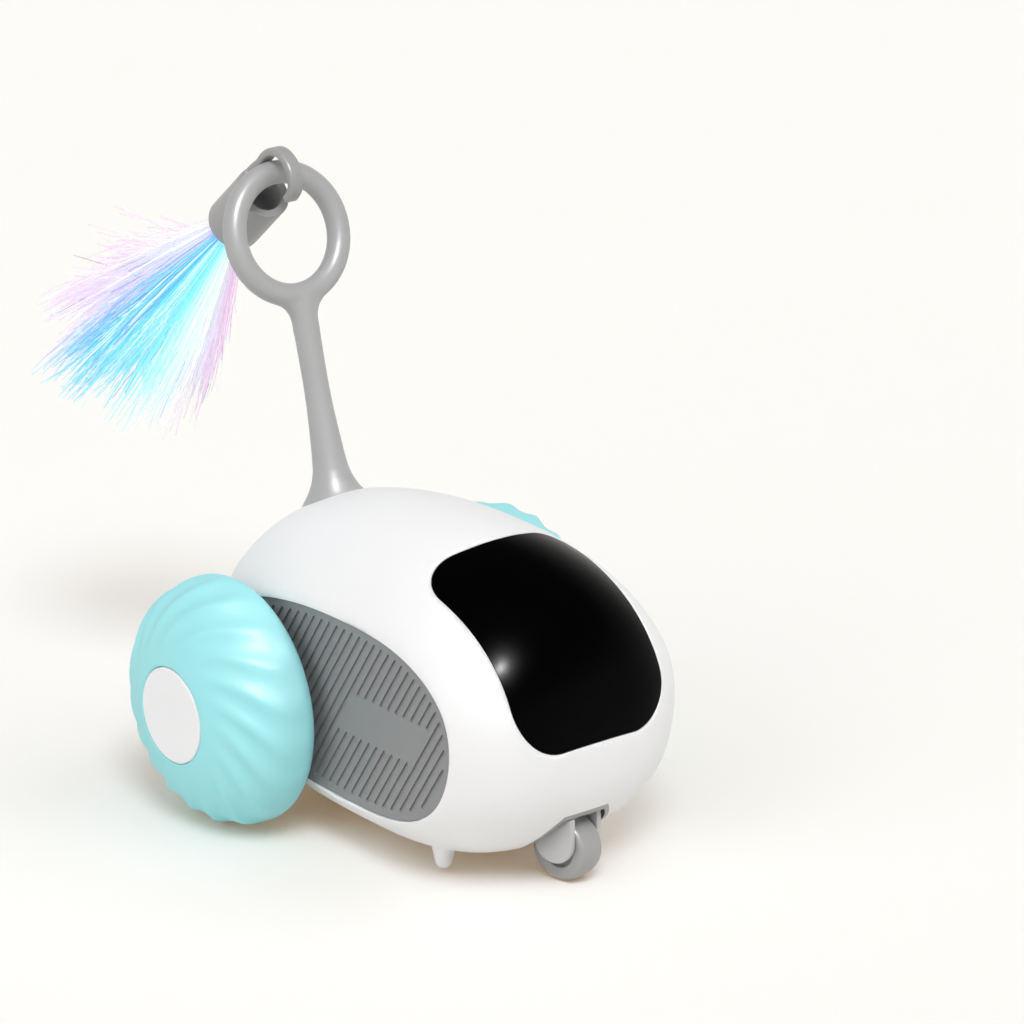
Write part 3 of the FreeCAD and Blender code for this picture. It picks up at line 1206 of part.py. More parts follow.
SINGLE_PIECES = [
    body_shell, base_cover, visor, caster_liner, caster_fork, swivel_clip, caster_wheel, caster_axle,
    battery, circuit_board, power_board, receiver_board, receiver_eye, power_button, button_switch,
    charge_port, cover_screws, gearbox_screws, board_screws, tail_stem, tail_retainer, tail_ring,
    teaser_hook, tassel_ferrule, tassel_fibres,
]
PAIRED_PIECES = [
    side_panel, tyre, wheel_hub, hub_cap, wheel_axle, axle_bush, output_gear, compound_gear,
    compound_pin, motor_pinion, motor_shaft, motor, gearbox_case,
]


def build():
    """All pieces by name, in the working frame."""
    pieces = {make.__name__: make() for make in SINGLE_PIECES}
    for make in PAIRED_PIECES:
        left = make()
        pieces["left_" + make.__name__] = left
        pieces["right_" + make.__name__] = mirrored(left)
    return pieces


def main():
    os.makedirs("parts", exist_ok=True)
    pieces = build()
    middle = (EGG_Y - EGG_FRONT + pieces["tassel_fibres"].optimalBoundingBox().YMax) / 2.0
    print("moved along Y by", round(-middle, 4))
    for name, shape in pieces.items():
        shape.translate(Vector(0, -middle, 0))
        solids = shape.Solids
        print(name, "solids", len(solids), "valid", shape.isValid(), "volume", round(shape.Volume, 1))
        if len(solids) == 1:
            shape = solids[0]
        else:
            shape = Part.makeCompound(solids)
        shape.exportStep("parts/" + name + ".step")


main()
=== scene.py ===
import json
import math

import bmesh
import bpy
from mathutils import Matrix, Vector


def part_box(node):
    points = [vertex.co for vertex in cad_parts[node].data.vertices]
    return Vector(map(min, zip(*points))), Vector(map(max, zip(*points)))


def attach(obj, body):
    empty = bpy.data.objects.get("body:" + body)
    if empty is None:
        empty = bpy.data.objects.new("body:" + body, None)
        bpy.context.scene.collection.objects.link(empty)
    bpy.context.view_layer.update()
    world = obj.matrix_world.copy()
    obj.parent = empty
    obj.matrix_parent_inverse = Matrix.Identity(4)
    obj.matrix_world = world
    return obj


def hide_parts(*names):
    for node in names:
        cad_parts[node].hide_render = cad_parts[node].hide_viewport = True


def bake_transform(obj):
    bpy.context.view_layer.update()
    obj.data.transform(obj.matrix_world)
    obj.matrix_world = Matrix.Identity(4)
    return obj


bl_info = {
    "name": "Robotic cat toy car",
    "version": (1, 0, 0),
    "blender": (4, 5, 0),
    "location": "View3D > Sidebar > Cat Toy Car",
    "description": "Builds the looks of a robotic cat toy car round its construction model",
    "category": "Object",
}

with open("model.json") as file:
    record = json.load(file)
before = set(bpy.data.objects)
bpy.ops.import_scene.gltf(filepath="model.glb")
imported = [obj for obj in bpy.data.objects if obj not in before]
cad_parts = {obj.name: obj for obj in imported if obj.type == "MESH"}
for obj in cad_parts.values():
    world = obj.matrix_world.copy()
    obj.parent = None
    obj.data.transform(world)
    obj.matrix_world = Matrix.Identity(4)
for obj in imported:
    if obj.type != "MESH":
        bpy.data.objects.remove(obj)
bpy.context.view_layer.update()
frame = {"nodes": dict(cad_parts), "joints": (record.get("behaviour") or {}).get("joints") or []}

MM = 0.001
SIDES = ("left", "right")
JOINTS = {joint["name"]: joint for joint in frame["joints"]}
AXLE = Vector((0.0, JOINTS["left_wheel_spin"]["pos_m"][1], JOINTS["left_wheel_spin"]["pos_m"][2]))
RING_TOP = Vector(JOINTS["teaser_swing"]["pos_m"])


# Geometry helpers

def link_mesh(name, mesh):
    """A new object at the origin that holds the mesh."""
    piece = bpy.data.objects.new(name, mesh)
    bpy.context.scene.collection.objects.link(piece)
    return piece


def mesh_from(name, points, faces):
    """A mesh object with outward normals and smooth shading."""
    mesh = bpy.data.meshes.new(name)
    mesh.from_pydata([tuple(point) for point in points], [], faces)
    shape = bmesh.new()
    shape.from_mesh(mesh)
    bmesh.ops.remove_doubles(shape, verts=shape.verts, dist=1e-7)
    bmesh.ops.recalc_face_normals(shape, faces=shape.faces)
    shape.to_mesh(mesh)
    shape.free()
    mesh.shade_smooth()
    return link_mesh(name, mesh)


def bake_modifiers(piece):
    """Turn the piece's modifiers into its plain mesh."""
    graph = bpy.context.evaluated_depsgraph_get()
    mesh = bpy.data.meshes.new_from_object(piece.evaluated_get(graph))
    piece.modifiers.clear()
    old = piece.data
    piece.data = mesh
    mesh.name = piece.name
    if isinstance(old, bpy.types.Mesh):
        bpy.data.meshes.remove(old)
    return piece


def lathe(name, profile, segments, place, closed=True):
    """Turn (radius, height) points about the local Z axis of a placement matrix."""
    points, faces = [], []
    count = len(profile)
    for index in range(segments):
        turn = 2.0 * math.pi * index / segments
        for radius, height in profile:
            points.append(place @ Vector((radius * math.cos(turn), radius * math.sin(turn), height)))
    for index in range(segments):
        after = (index + 1) % segments
        for step in range(count if closed else count - 1):
            up = (step + 1) % count
            faces.append((index * count + step, after * count + step, after * count + up, index * count + up))
    return mesh_from(name, points, faces)


def axis_place(origin, axis):
    """A placement whose local Z runs along the axis from the origin."""
    turn = Vector((0, 0, 1)).rotation_difference(Vector(axis)).to_matrix().to_4x4()
    return Matrix.Translation(origin) @ turn


def node_copy(name, node):
    """A merged copy of a construction node's mesh."""
    mesh = frame["nodes"][node].data.copy()
    shape = bmesh.new()
    shape.from_mesh(mesh)
    bmesh.ops.remove_doubles(shape, verts=shape.verts, dist=1e-6)
    shape.to_mesh(mesh)
    shape.free()
    mesh.materials.clear()
    mesh.name = name
    return link_mesh(name, mesh)


def soften(piece, voxel, passes, factor=0.5):
    """Rebuild a piece as one even skin and round its inner and outer corners."""
    remesh = piece.modifiers.new("even skin", "REMESH")
    remesh.mode = "VOXEL"
    remesh.voxel_size = voxel
    smooth = piece.modifiers.new("round corners", "SMOOTH")
    smooth.factor = factor
    smooth.iterations = passes
    bake_modifiers(piece)
    piece.data.shade_smooth()
    return piece


def join(name, pieces):
    """One object from several meshes that lie at the origin."""
    shape = bmesh.new()
    for piece in pieces:
        shape.from_mesh(piece.data)
        bpy.data.objects.remove(piece)
    mesh = bpy.data.meshes.new(name)
    shape.to_mesh(mesh)
    shape.free()
    mesh.shade_smooth()
    return link_mesh(name, mesh)


# Materials

def new_group(name, inputs, outputs, kind="ShaderNodeTree"):
    """An empty node group with named sockets, its input node and its output node."""
    group = bpy.data.node_groups.new(name, kind)
    for label, socket, default in inputs:
        item = group.interface.new_socket(name=label, in_out="INPUT", socket_type=socket)
        if default is not None:
            item.default_value = default
    for label, socket in outputs:
        group.interface.new_socket(name=label, in_out="OUTPUT", socket_type=socket)
    return group, group.nodes.new("NodeGroupInput"), group.nodes.new("NodeGroupOutput")


def grain_group():
    """Fine moulded grain: a height for the bump and a roughness that varies over the surface."""
    name = "moulded grain"
    if name in bpy.data.node_groups:
        return bpy.data.node_groups[name]
    group, start, end = new_group(
        name,
        [("Vector", "NodeSocketVector", None), ("Grain Size", "NodeSocketFloat", 2000.0),
         ("Rough Low", "NodeSocketFloat", 0.3), ("Rough High", "NodeSocketFloat", 0.4)],
        [("Height", "NodeSocketFloat"), ("Roughness", "NodeSocketFloat")])
    fine = group.nodes.new("ShaderNodeTexNoise")
    fine.inputs["Detail"].default_value = 3.0
    broad = group.nodes.new("ShaderNodeTexNoise")
    broad.inputs["Scale"].default_value = 45.0
    spread = group.nodes.new("ShaderNodeMapRange")
    spread.inputs["From Min"].default_value = 0.3
    spread.inputs["From Max"].default_value = 0.7
    links = group.links
    links.new(start.outputs["Vector"], fine.inputs["Vector"])
    links.new(start.outputs["Grain Size"], fine.inputs["Scale"])
    links.new(start.outputs["Vector"], broad.inputs["Vector"])
    links.new(broad.outputs["Fac"], spread.inputs["Value"])
    links.new(start.outputs["Rough Low"], spread.inputs["To Min"])
    links.new(start.outputs["Rough High"], spread.inputs["To Max"])
    links.new(fine.outputs["Fac"], end.inputs["Height"])
    links.new(spread.outputs["Result"], end.inputs["Roughness"])
    return group


def tone_group():
    """Two tones of one colour, mixed by a soft cloud over the surface."""
    name = "soft tone"
    if name in bpy.data.node_groups:
        return bpy.data.node_groups[name]
    group, start, end = new_group(
        name,
        [("Vector", "NodeSocketVector", None), ("Cloud Size", "NodeSocketFloat", 60.0),
         ("Light", "NodeSocketColor", (0.8, 0.8, 0.8, 1.0)),
         ("Dark", "NodeSocketColor", (0.7, 0.7, 0.7, 1.0))],
        [("Color", "NodeSocketColor")])
    cloud = group.nodes.new("ShaderNodeTexNoise")
    cloud.inputs["Detail"].default_value = 2.0
    mix = group.nodes.new("ShaderNodeMix")
    mix.data_type = "RGBA"
    links = group.links
    links.new(start.outputs["Vector"], cloud.inputs["Vector"])
    links.new(start.outputs["Cloud Size"], cloud.inputs["Scale"])
    links.new(cloud.outputs["Fac"], mix.inputs["Factor"])
    links.new(start.outputs["Light"], mix.inputs["A"])
    links.new(start.outputs["Dark"], mix.inputs["B"])
    links.new(mix.outputs["Result"], end.inputs["Color"])
    return group


def map_range(tree, value, low, high, to_low, to_high):
    """A clamped map range node."""
    node = tree.nodes.new("ShaderNodeMapRange")
    for label, number in (("From Min", low), ("From Max", high), ("To Min", to_low), ("To Max", to_high)):
        node.inputs[label].default_value = number
    tree.links.new(value, node.inputs["Value"])
    return node.outputs["Result"]


def moulded(name, colour, rough=(0.3, 0.4), grain=2000.0, bump=0.02, tone=0.96, **constants):
    """A moulded or metal finish: two close tones, fine grain and uneven roughness."""
    if name in bpy.data.materials:
        return bpy.data.materials[name]
    material = bpy.data.materials.new(name)
    material.use_nodes = True
    tree = material.node_tree
    shader = tree.nodes["Principled BSDF"]
    place = tree.nodes.new("ShaderNodeTexCoord")
    grains = tree.nodes.new("ShaderNodeGroup")
    grains.node_tree = grain_group()
    grains.inputs["Grain Size"].default_value = grain
    grains.inputs["Rough Low"].default_value = rough[0]
    grains.inputs["Rough High"].default_value = rough[1]
    tones = tree.nodes.new("ShaderNodeGroup")
    tones.node_tree = tone_group()
    tones.inputs["Light"].default_value = (*colour, 1.0)
    tones.inputs["Dark"].default_value = (*[part * tone for part in colour], 1.0)
    relief = tree.nodes.new("ShaderNodeBump")
    relief.inputs["Strength"].default_value = bump
    relief.inputs["Distance"].default_value = 0.1 * MM
    links = tree.links
    links.new(place.outputs["Object"], grains.inputs["Vector"])
    links.new(place.outputs["Object"], tones.inputs["Vector"])
    links.new(tones.outputs["Color"], shader.inputs["Base Color"])
    links.new(grains.outputs["Roughness"], shader.inputs["Roughness"])
    links.new(grains.outputs["Height"], relief.inputs["Height"])
    links.new(relief.outputs["Normal"], shader.inputs["Normal"])
    for label, value in constants.items():
        shader.inputs[label.replace("_", " ")].default_value = value
    return material


def paint(piece, material):
    """Give a whole piece one material."""
    if piece.data.materials:
        piece.data.materials.clear()
    piece.data.materials.append(material)
    piece.data.update()


FINISHES = {
    "white satin shell": dict(
        colour=(0.885, 0.885, 0.89), rough=(0.40, 0.46), bump=0.01, tone=0.998, Specular_IOR_Level=0.3),
    "black gloss window": dict(
        colour=(0.0006, 0.0006, 0.0007), rough=(0.19, 0.22), bump=0.0, Specular_IOR_Level=0.03),
    "grey side plate": dict(colour=(0.264, 0.264, 0.271), rough=(0.40, 0.50), bump=0.05),
    "grey moulding": dict(colour=(0.355, 0.353, 0.353), rough=(0.34, 0.42)),
    "light grey moulding": dict(colour=(0.53, 0.528, 0.53), rough=(0.32, 0.4)),
    "grey silicone": dict(colour=(0.415, 0.412, 0.415), rough=(0.38, 0.44), bump=0.03),
    "cyan soft tyre": dict(colour=(0.35, 0.80, 0.84), rough=(0.46, 0.54), bump=0.03, tone=0.98),
    "white hub disc": dict(colour=(0.91, 0.905, 0.92), rough=(0.34, 0.4), bump=0.01, tone=0.985),
    "dark moulding": dict(colour=(0.03, 0.03, 0.032), rough=(0.4, 0.5), bump=0.03),
    "bright steel": dict(
        colour=(0.62, 0.62, 0.64), rough=(0.22, 0.34), grain=4000.0, bump=0.03, Metallic=1.0),
    "plain brass": dict(
        colour=(0.72, 0.52, 0.24), rough=(0.26, 0.36), grain=4000.0, bump=0.03, Metallic=1.0),
    "ivory gear plastic": dict(colour=(0.72, 0.70, 0.62), rough=(0.36, 0.44)),
    "green board": dict(colour=(0.02, 0.16, 0.07), rough=(0.3, 0.4)),
    "blue cell wrap": dict(colour=(0.05, 0.16, 0.42), rough=(0.22, 0.32)),
}


def finish(name):
    """The material of that name, made when it is first asked for."""
    return moulded(name, **FINISHES[name])


# Sizes that a user would change

def span(name, description, default):
    """A length that the user can set."""
    return bpy.props.FloatProperty(
        name=name, description=description, default=default, unit="LENGTH", precision=5)


def angle(name, description, degrees):
    """An angle that the user can set."""
    return bpy.props.FloatProperty(
        name=name, description=description, default=math.radians(degrees), subtype="ANGLE", unit="ROTATION")


def whole(name, description, default, low, high):
    """A number of things that the user can set."""
    return bpy.props.IntProperty(name=name, description=description, default=default, min=low, max=high)


def tint(name, description, default):
    """A colour that the user can set."""
    return bpy.props.FloatVectorProperty(
        name=name, description=description, default=default, subtype="COLOR", min=0.0, max=1.0)


class ToyCarStageSettings(bpy.types.PropertyGroup):
    camera_turn: angle("Camera turn", "Camera's turn about the vertical, from the car's front", -38.473)
    camera_rise: angle("Camera rise", "Camera's height angle above the horizon", 19.953)
    camera_distance: span("Camera distance", "From the aim point to the lens", 1.17196)
    camera_aim: bpy.props.FloatVectorProperty(
        name="Aim from axle", description="The aim point, from the floor below the axle's middle",
        default=(0.03968, -0.00467, 0.05792), subtype="XYZ", unit="LENGTH")
    lens: bpy.props.FloatProperty(
        name="Lens", description="Focal length in mm on a 36 mm frame", default=175.78)
    paper: tint("Paper colour", "Colour of floor and backdrop", (0.991, 0.973, 0.939))
    shade: tint("Shade colour", "The floor's colour where no light comes", (0.18, 0.105, 0.035))


class ToyCarTyreSettings(bpy.types.PropertyGroup):
    flutes: whole("Flutes", "Grooves round each tyre", 18, 4, 60)
    depth: span("Depth", "Depth of the flutes", 0.00078)
    swirl: angle("Swirl", "Turn of a flute from hub to rim", 48.0)


class ToyCarTailSettings(bpy.types.PropertyGroup):
    ring_radius: span("Ring radius", "From the ring's middle to the middle of its tube", 0.0143)
    ring_tube: span("Ring tube", "Radius of the ring's tube", 0.00277)
    ring_lean: angle("Ring lean", "Lean of the ring towards the rear", 20.0)


class ToyCarTasselSettings(bpy.types.PropertyGroup):
    strands: whole("Strands", "Main strands", 950, 10, 4000)
    branches: whole("Branches", "Side tips of each strand", 2, 0, 6)
    lock: whole("Lock", "Strands that hang together", 10, 1, 100)
    lock_width: bpy.props.FloatProperty(
        name="Lock width", description="Spread of a lock, as a share of its length", default=0.085)
    length: span("Length", "Length of a long strand", 0.0605)
    root_radius: span("Root radius", "Radius of the bundle where it leaves the cup", 0.0032)
    spread: angle("Spread", "Half angle of the whole tassel", 26.5)
    fall: angle("Fall", "Drop of the tassel's middle below level", 46.0)
    drift: angle("Drift", "Turn of the tassel's middle to the car's right", 12.0)
    strand_radius: span("Strand radius", "Half a strand's width at its root", 0.0002)


# Stage

def camera_axes(turn, rise):
    """The camera's right, up and back directions."""
    right = Vector((math.cos(turn), math.sin(turn), 0.0))
    back = Vector((math.sin(turn) * math.cos(rise), -math.cos(turn) * math.cos(rise), math.sin(rise)))
    return right, back.cross(right), back


def add_camera(settings):
    """The camera at the photograph's view."""
    right, up, back = camera_axes(settings.camera_turn, settings.camera_rise)
    aim = Vector((AXLE.x, AXLE.y, 0.0)) + Vector(settings.camera_aim)
    data = bpy.data.cameras.new("photo view")
    data.lens = settings.lens
    data.sensor_width = 36.0
    data.clip_start = 0.01
    data.clip_end = 20.0
    camera = bpy.data.objects.new("photo view", data)
    spot = aim + back * settings.camera_distance
    camera.matrix_world = Matrix.Translation(spot) @ Matrix((right, up, back)).transposed().to_4x4()
    bpy.context.scene.collection.objects.link(camera)
    bpy.context.scene.camera = camera


def seen_rays(tree):
    """One for rays that show the backdrop: from the camera, off gloss or through glass."""
    path = tree.nodes.new("ShaderNodeLightPath")
    gloss = tree.nodes.new("ShaderNodeMath")
    gloss.operation = "MAXIMUM"
    tree.links.new(path.outputs["Is Camera Ray"], gloss.inputs[0])
    tree.links.new(path.outputs["Is Glossy Ray"], gloss.inputs[1])
    both = tree.nodes.new("ShaderNodeMath")
    both.operation = "MAXIMUM"
    tree.links.new(gloss.outputs[0], both.inputs[0])
    tree.links.new(path.outputs["Is Transmission Ray"], both.inputs[1])
    return both.outputs[0]


FLOOR_SEEN = 0.96
FLOOR_BOUNCE = 0.82
FLOOR_REACH = 4.0
FLOOR_SIDES = 64
WORLD_LIGHT = 0.11
GLOSS_FADE = (0.15, 0.6, 1.0, 0.1)
LAMPS = (
    ("key light", (-0.285, -0.503, 0.816), 0.445, 24.0),
    ("right light", (0.62, -0.75, 0.75), 0.28, 50.0),
    ("left light", (-0.95, -0.1, 0.45), 0.285, 50.0),
    ("overhead light", (0.0, 0.1, 1.0), 0.28, 100.0),
)
GLINT_SPOT = Vector((-0.020, -0.087, 0.056))
GLINT_DISTANCE = 1.3
GLINT_DISCS = ((0.10, 24.0), (0.30, 13.0), (0.60, 7.0))


def paper_material(colour, shade):
    """Pale floor: the lamps' share of its colour is cool, and what stays in a shadow is warm."""
    material = bpy.data.materials.new("pale paper")
    material.use_nodes = True
    tree = material.node_tree
    tree.nodes.clear()
    out = tree.nodes.new("ShaderNodeOutputMaterial")
    plain = tree.nodes.new("ShaderNodeBsdfDiffuse")
    lamp_share = [(part - dark) * FLOOR_SEEN for part, dark in zip(colour, shade)]
    plain.inputs["Color"].default_value = (*lamp_share, 1.0)
    lit = tree.nodes.new("ShaderNodeEmission")
    lit.inputs["Color"].default_value = (*shade, 1.0)
    both = tree.nodes.new("ShaderNodeAddShader")
    real = tree.nodes.new("ShaderNodeBsdfDiffuse")
    real.inputs["Color"].default_value = (*[part * FLOOR_BOUNCE for part in colour], 1.0)
    switch = tree.nodes.new("ShaderNodeMixShader")
    tree.links.new(plain.outputs[0], both.inputs[0])
    tree.links.new(lit.outputs[0], both.inputs[1])
    tree.links.new(seen_rays(tree), switch.inputs[0])
    tree.links.new(real.outputs[0], switch.inputs[1])
    tree.links.new(both.outputs[0], switch.inputs[2])
    tree.links.new(switch.outputs[0], out.inputs["Surface"])
    return material


def add_floor(settings):
    """A wide round floor."""
    turns = [2.0 * math.pi * index / FLOOR_SIDES for index in range(FLOOR_SIDES)]
    rim = [Vector((FLOOR_REACH * math.cos(turn), FLOOR_REACH * math.sin(turn), 0.0)) for turn in turns]
    floor = mesh_from("floor", rim, [tuple(range(FLOOR_SIDES))])
    paint(floor, paper_material(settings.paper, settings.shade))


def add_sun(name, towards, facing, spread):
    """A soft lamp without falloff; facing is the light on a white surface square to it."""
    data = bpy.data.lights.new(name, "SUN")
    data.energy = facing * math.pi
    data.angle = math.radians(spread)
    lamp = bpy.data.objects.new(name, data)
    lamp.matrix_world = Vector(towards).to_track_quat("Z", "Y").to_matrix().to_4x4()
    lamp.visible_glossy = False
    bpy.context.scene.collection.objects.link(lamp)


def add_glint(name, aim, towards, distance, size, watts):
    """A round lamp that shows only as a highlight."""
    data = bpy.data.lights.new(name, "AREA")
    data.shape = "DISK"
    data.size = size
    data.energy = watts
    lamp = bpy.data.objects.new(name, data)
    turn = Vector(towards).to_track_quat("Z", "Y").to_matrix().to_4x4()
    lamp.matrix_world = Matrix.Translation(aim + Vector(towards).normalized() * distance) @ turn
    lamp.visible_diffuse = False
    bpy.context.scene.collection.objects.link(lamp)


def add_world(settings):
    """Even light all round, and the paper's colour behind the floor."""
    world = bpy.data.worlds.new("studio")
    bpy.context.scene.world = world
    world.use_nodes = True
    tree = world.node_tree
    tree.nodes.clear()
    out = tree.nodes.new("ShaderNodeOutputWorld")
    seen = tree.nodes.new("ShaderNodeBackground")
    seen.inputs["Color"].default_value = (*settings.paper, 1.0)
    seen_above = tree.nodes.new("ShaderNodeBackground")
    seen_above.inputs["Color"].default_value = (*settings.paper, 1.0)
    light = tree.nodes.new("ShaderNodeBackground")
    light.inputs["Color"].default_value = (1.0, 0.99, 0.975, 1.0)
    light.inputs["Strength"].default_value = WORLD_LIGHT
    place = tree.nodes.new("ShaderNodeTexCoord")
    height = tree.nodes.new("ShaderNodeSeparateXYZ")
    tree.links.new(place.outputs["Generated"], height.inputs[0])
    tree.links.new(map_range(tree, height.outputs["Z"], *GLOSS_FADE), seen_above.inputs["Strength"])
    path = tree.nodes.new("ShaderNodeLightPath")
    backdrop = tree.nodes.new("ShaderNodeMixShader")
    switch = tree.nodes.new("ShaderNodeMixShader")
    tree.links.new(path.outputs["Is Camera Ray"], backdrop.inputs[0])
    tree.links.new(seen_above.outputs[0], backdrop.inputs[1])
    tree.links.new(seen.outputs[0], backdrop.inputs[2])
    tree.links.new(seen_rays(tree), switch.inputs[0])
    tree.links.new(light.outputs[0], switch.inputs[1])
    tree.links.new(backdrop.outputs[0], switch.inputs[2])
    tree.links.new(switch.outputs[0], out.inputs["Surface"])


class ToyCarStage(bpy.types.Operator):
    """Camera, lamps, floor and world"""
    bl_idname = "toycar.stage"
    bl_label = "Stage"

    def execute(self, context):
        settings = context.scene.toycar_stage
        context.scene.view_settings.view_transform = "Standard"
        add_camera(settings)
        add_floor(settings)
        add_world(settings)
        for name, towards, facing, spread in LAMPS:
            add_sun(name, towards, facing, spread)
        for size, watts in GLINT_DISCS:
            add_glint("key highlight", GLINT_SPOT, LAMPS[0][1], GLINT_DISTANCE, size, watts)
        return {"FINISHED"}


# Tyres

TYRE_SEGMENTS = 264
TYRE_SIDE = 37.35 * MM
TYRE_DOME = 18.6 * MM
TYRE_POWER = 2.41
TYRE_RIM_ROUND = 3.5 * MM
TYRE_WALL = 2.6 * MM
CAP_SEAT_DEEP = 1.5 * MM
FLUTE_START = 14.0 * MM
FLUTE_FULL = 24.0 * MM
FLUTE_RIM_FADE = 8.0 * MM


def tyre_profile(side):
    """(radius, distance along the axle) round the tyre's wall, and each point's share of the flutes."""
    low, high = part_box(side + "_tyre")
    radius = (high[2] - low[2]) / 2.0
    face = max(abs(low[0]), abs(high[0]))
    rim = min(abs(low[0]), abs(high[0]))
    cap_low, cap_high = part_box(side + "_hub_cap")
    seat = (cap_high[2] - cap_low[2]) / 2.0 + 0.15 * MM
    back = radius - TYRE_WALL - TYRE_RIM_ROUND
    profile = [(back, rim, 0.0)]
    for index in range(9):
        turn = math.pi / 2.0 * index / 8
        profile.append((radius - TYRE_RIM_ROUND + TYRE_RIM_ROUND * math.sin(turn),
                        rim + TYRE_RIM_ROUND * (1.0 - math.cos(turn)), 0.0))
    steps = 44
    start = rim + TYRE_RIM_ROUND - TYRE_SIDE
    for index in range(1, steps + 1):
        run = start + (face - TYRE_SIDE - start) * math.sin(math.pi / 2.0 * index / steps)
        across = radius * (1.0 - (max(run, 0.0) / TYRE_DOME) ** TYRE_POWER) ** (1.0 / TYRE_POWER)
        from_rim = min(max((run - start) / FLUTE_RIM_FADE, 0.0), 1.0)
        from_cap = min(max((across - FLUTE_START) / (FLUTE_FULL - FLUTE_START), 0.0), 1.0)
        share = (from_rim * (2.0 - from_rim)) * (from_cap * from_cap * (3.0 - 2.0 * from_cap))
        profile.append((across, TYRE_SIDE + run, share))
    profile.append((seat + 0.25 * MM, face + 0.05 * MM, 0.0))
    profile.append((seat, face - 0.2 * MM, 0.0))
    profile.append((seat, face - CAP_SEAT_DEEP, 0.0))
    profile.append((seat - 1.0 * MM, face - TYRE_WALL, 0.0))
    for index in range(1, 9):
        run = (face - TYRE_SIDE - TYRE_WALL) * (1.0 - index / 8)
        inner = TYRE_DOME - TYRE_WALL
        across = (radius - TYRE_WALL) * (1.0 - (run / inner) ** TYRE_POWER) ** (1.0 / TYRE_POWER)
        profile.append((across, TYRE_SIDE + run, 0.0))
    profile.append((back, TYRE_SIDE - TYRE_WALL / 2.0, 0.0))
    return profile


def tyre_blank(side):
    """The smooth tyre, with each vertex's share of the flutes."""
    sign = 1.0 if side == "left" else -1.0
    profile = tyre_profile(side)
    count = len(profile)
    points, faces, shares = [], [], []
    for index in range(TYRE_SEGMENTS):
        turn = 2.0 * math.pi * index / TYRE_SEGMENTS
        for radius, across, share in profile:
            points.append((sign * across, AXLE.y + radius * math.cos(turn), AXLE.z + radius * math.sin(turn)))
            shares.append(share)
    for index in range(TYRE_SEGMENTS):
        after = (index + 1) % TYRE_SEGMENTS
        for step in range(count):
            up = (step + 1) % count
            face = (index * count + step, after * count + step, after * count + up, index * count + up)
            faces.append(face if sign > 0 else face[::-1])
    mesh = bpy.data.meshes.new(side + "_soft_tyre")
    mesh.from_pydata(points, [], faces)
    layer = mesh.attributes.new("flute_share", "FLOAT", "POINT")
    layer.data.foreach_set("value", shares)
    mesh.shade_smooth()
    return link_mesh(side + "_soft_tyre", mesh)


class NodeMaker:
    """Short calls for building a Geometry Nodes tree."""

    def __init__(self, tree):
        self.tree = tree

    def put(self, kind, **values):
        node = self.tree.nodes.new(kind)
        for label, value in values.items():
            setattr(node, label, value)
        return node

    def link(self, source, target):
        self.tree.links.new(source, target)

    def feed(self, socket, value):
        if isinstance(value, bpy.types.NodeSocket):
            self.link(value, socket)
        else:
            socket.default_value = value

    def math(self, operation, first, second=None, third=None):
        node = self.put("ShaderNodeMath", operation=operation)
        for socket, value in zip(node.inputs, (first, second, third)):
            if value is not None:
                self.feed(socket, value)
        return node.outputs[0]

    def vector(self, operation, first, second=None, scale=None):
        node = self.put("ShaderNodeVectorMath", operation=operation)
        self.feed(node.inputs[0], first)
        if second is not None:
            self.feed(node.inputs[1], second)
        if scale is not None:
            self.feed(node.inputs["Scale"], scale)
        return node.outputs["Value"] if operation in ("LENGTH", "DOT_PRODUCT") else node.outputs["Vector"]

    def combine(self, x, y, z):
        node = self.put("ShaderNodeCombineXYZ")
        for socket, value in zip(node.inputs, (x, y, z)):
            self.feed(socket, value)
        return node.outputs[0]

    def split(self, vector):
        node = self.put("ShaderNodeSeparateXYZ")
        self.link(vector, node.inputs[0])
        return node.outputs

    def times(self, first, second):
        return self.math("MULTIPLY", first, second)

    def plus(self, first, second):
        return self.math("ADD", first, second)

    def scaled(self, vector, scale):
        return self.vector("SCALE", vector, scale=scale)

    def added(self, first, *others):
        for other in others:
            first = self.vector("ADD", first, other)
        return first

    def random(self, low, high, seed, ident):
        node = self.put("FunctionNodeRandomValue", data_type="FLOAT")
        self.feed(node.inputs[2], low)
        self.feed(node.inputs[3], high)
        self.link(ident, node.inputs["ID"])
        node.inputs["Seed"].default_value = seed
        return node.outputs[1]

    def shake(self, seeds, ident, highest=1.0):
        """A random vector, with its own upper limit for the last part."""
        highs = (1.0, 1.0, highest)
        return self.combine(*[self.random(-1.0, high, seed, ident) for high, seed in zip(highs, seeds)])

    def keep(self, geometry, name, value):
        """Store a named number on each point."""
        node = self.put("GeometryNodeStoreNamedAttribute", data_type="FLOAT", domain="POINT")
        node.inputs["Name"].default_value = name
        self.link(geometry, node.inputs["Geometry"])
        self.link(value, node.inputs["Value"])
        return node.outputs["Geometry"]

    def finish(self, geometry, material, end):
        """Real geometry with one material at the tree's end."""
        real = self.put("GeometryNodeRealizeInstances")
        self.link(geometry, real.inputs["Geometry"])
        skin = self.put("GeometryNodeSetMaterial")
        self.link(real.outputs["Geometry"], skin.inputs["Geometry"])
        self.link(material, skin.inputs["Material"])
        self.link(skin.outputs["Geometry"], end.inputs["Geometry"])


def add_nodes(piece, tree, values):
    """Put a Geometry Nodes tree on a piece and set its named inputs."""
    modifier = piece.modifiers.new(tree.name, "NODES")
    modifier.node_group = tree
    for item in tree.interface.items_tree:
        if item.in_out == "INPUT" and item.name in values:
            modifier[item.identifier] = values[item.name]
    return modifier


FLUTE_SKEW = 0.2
FLUTE_WAVE = -0.5
FLUTE_LEVEL = 0.2


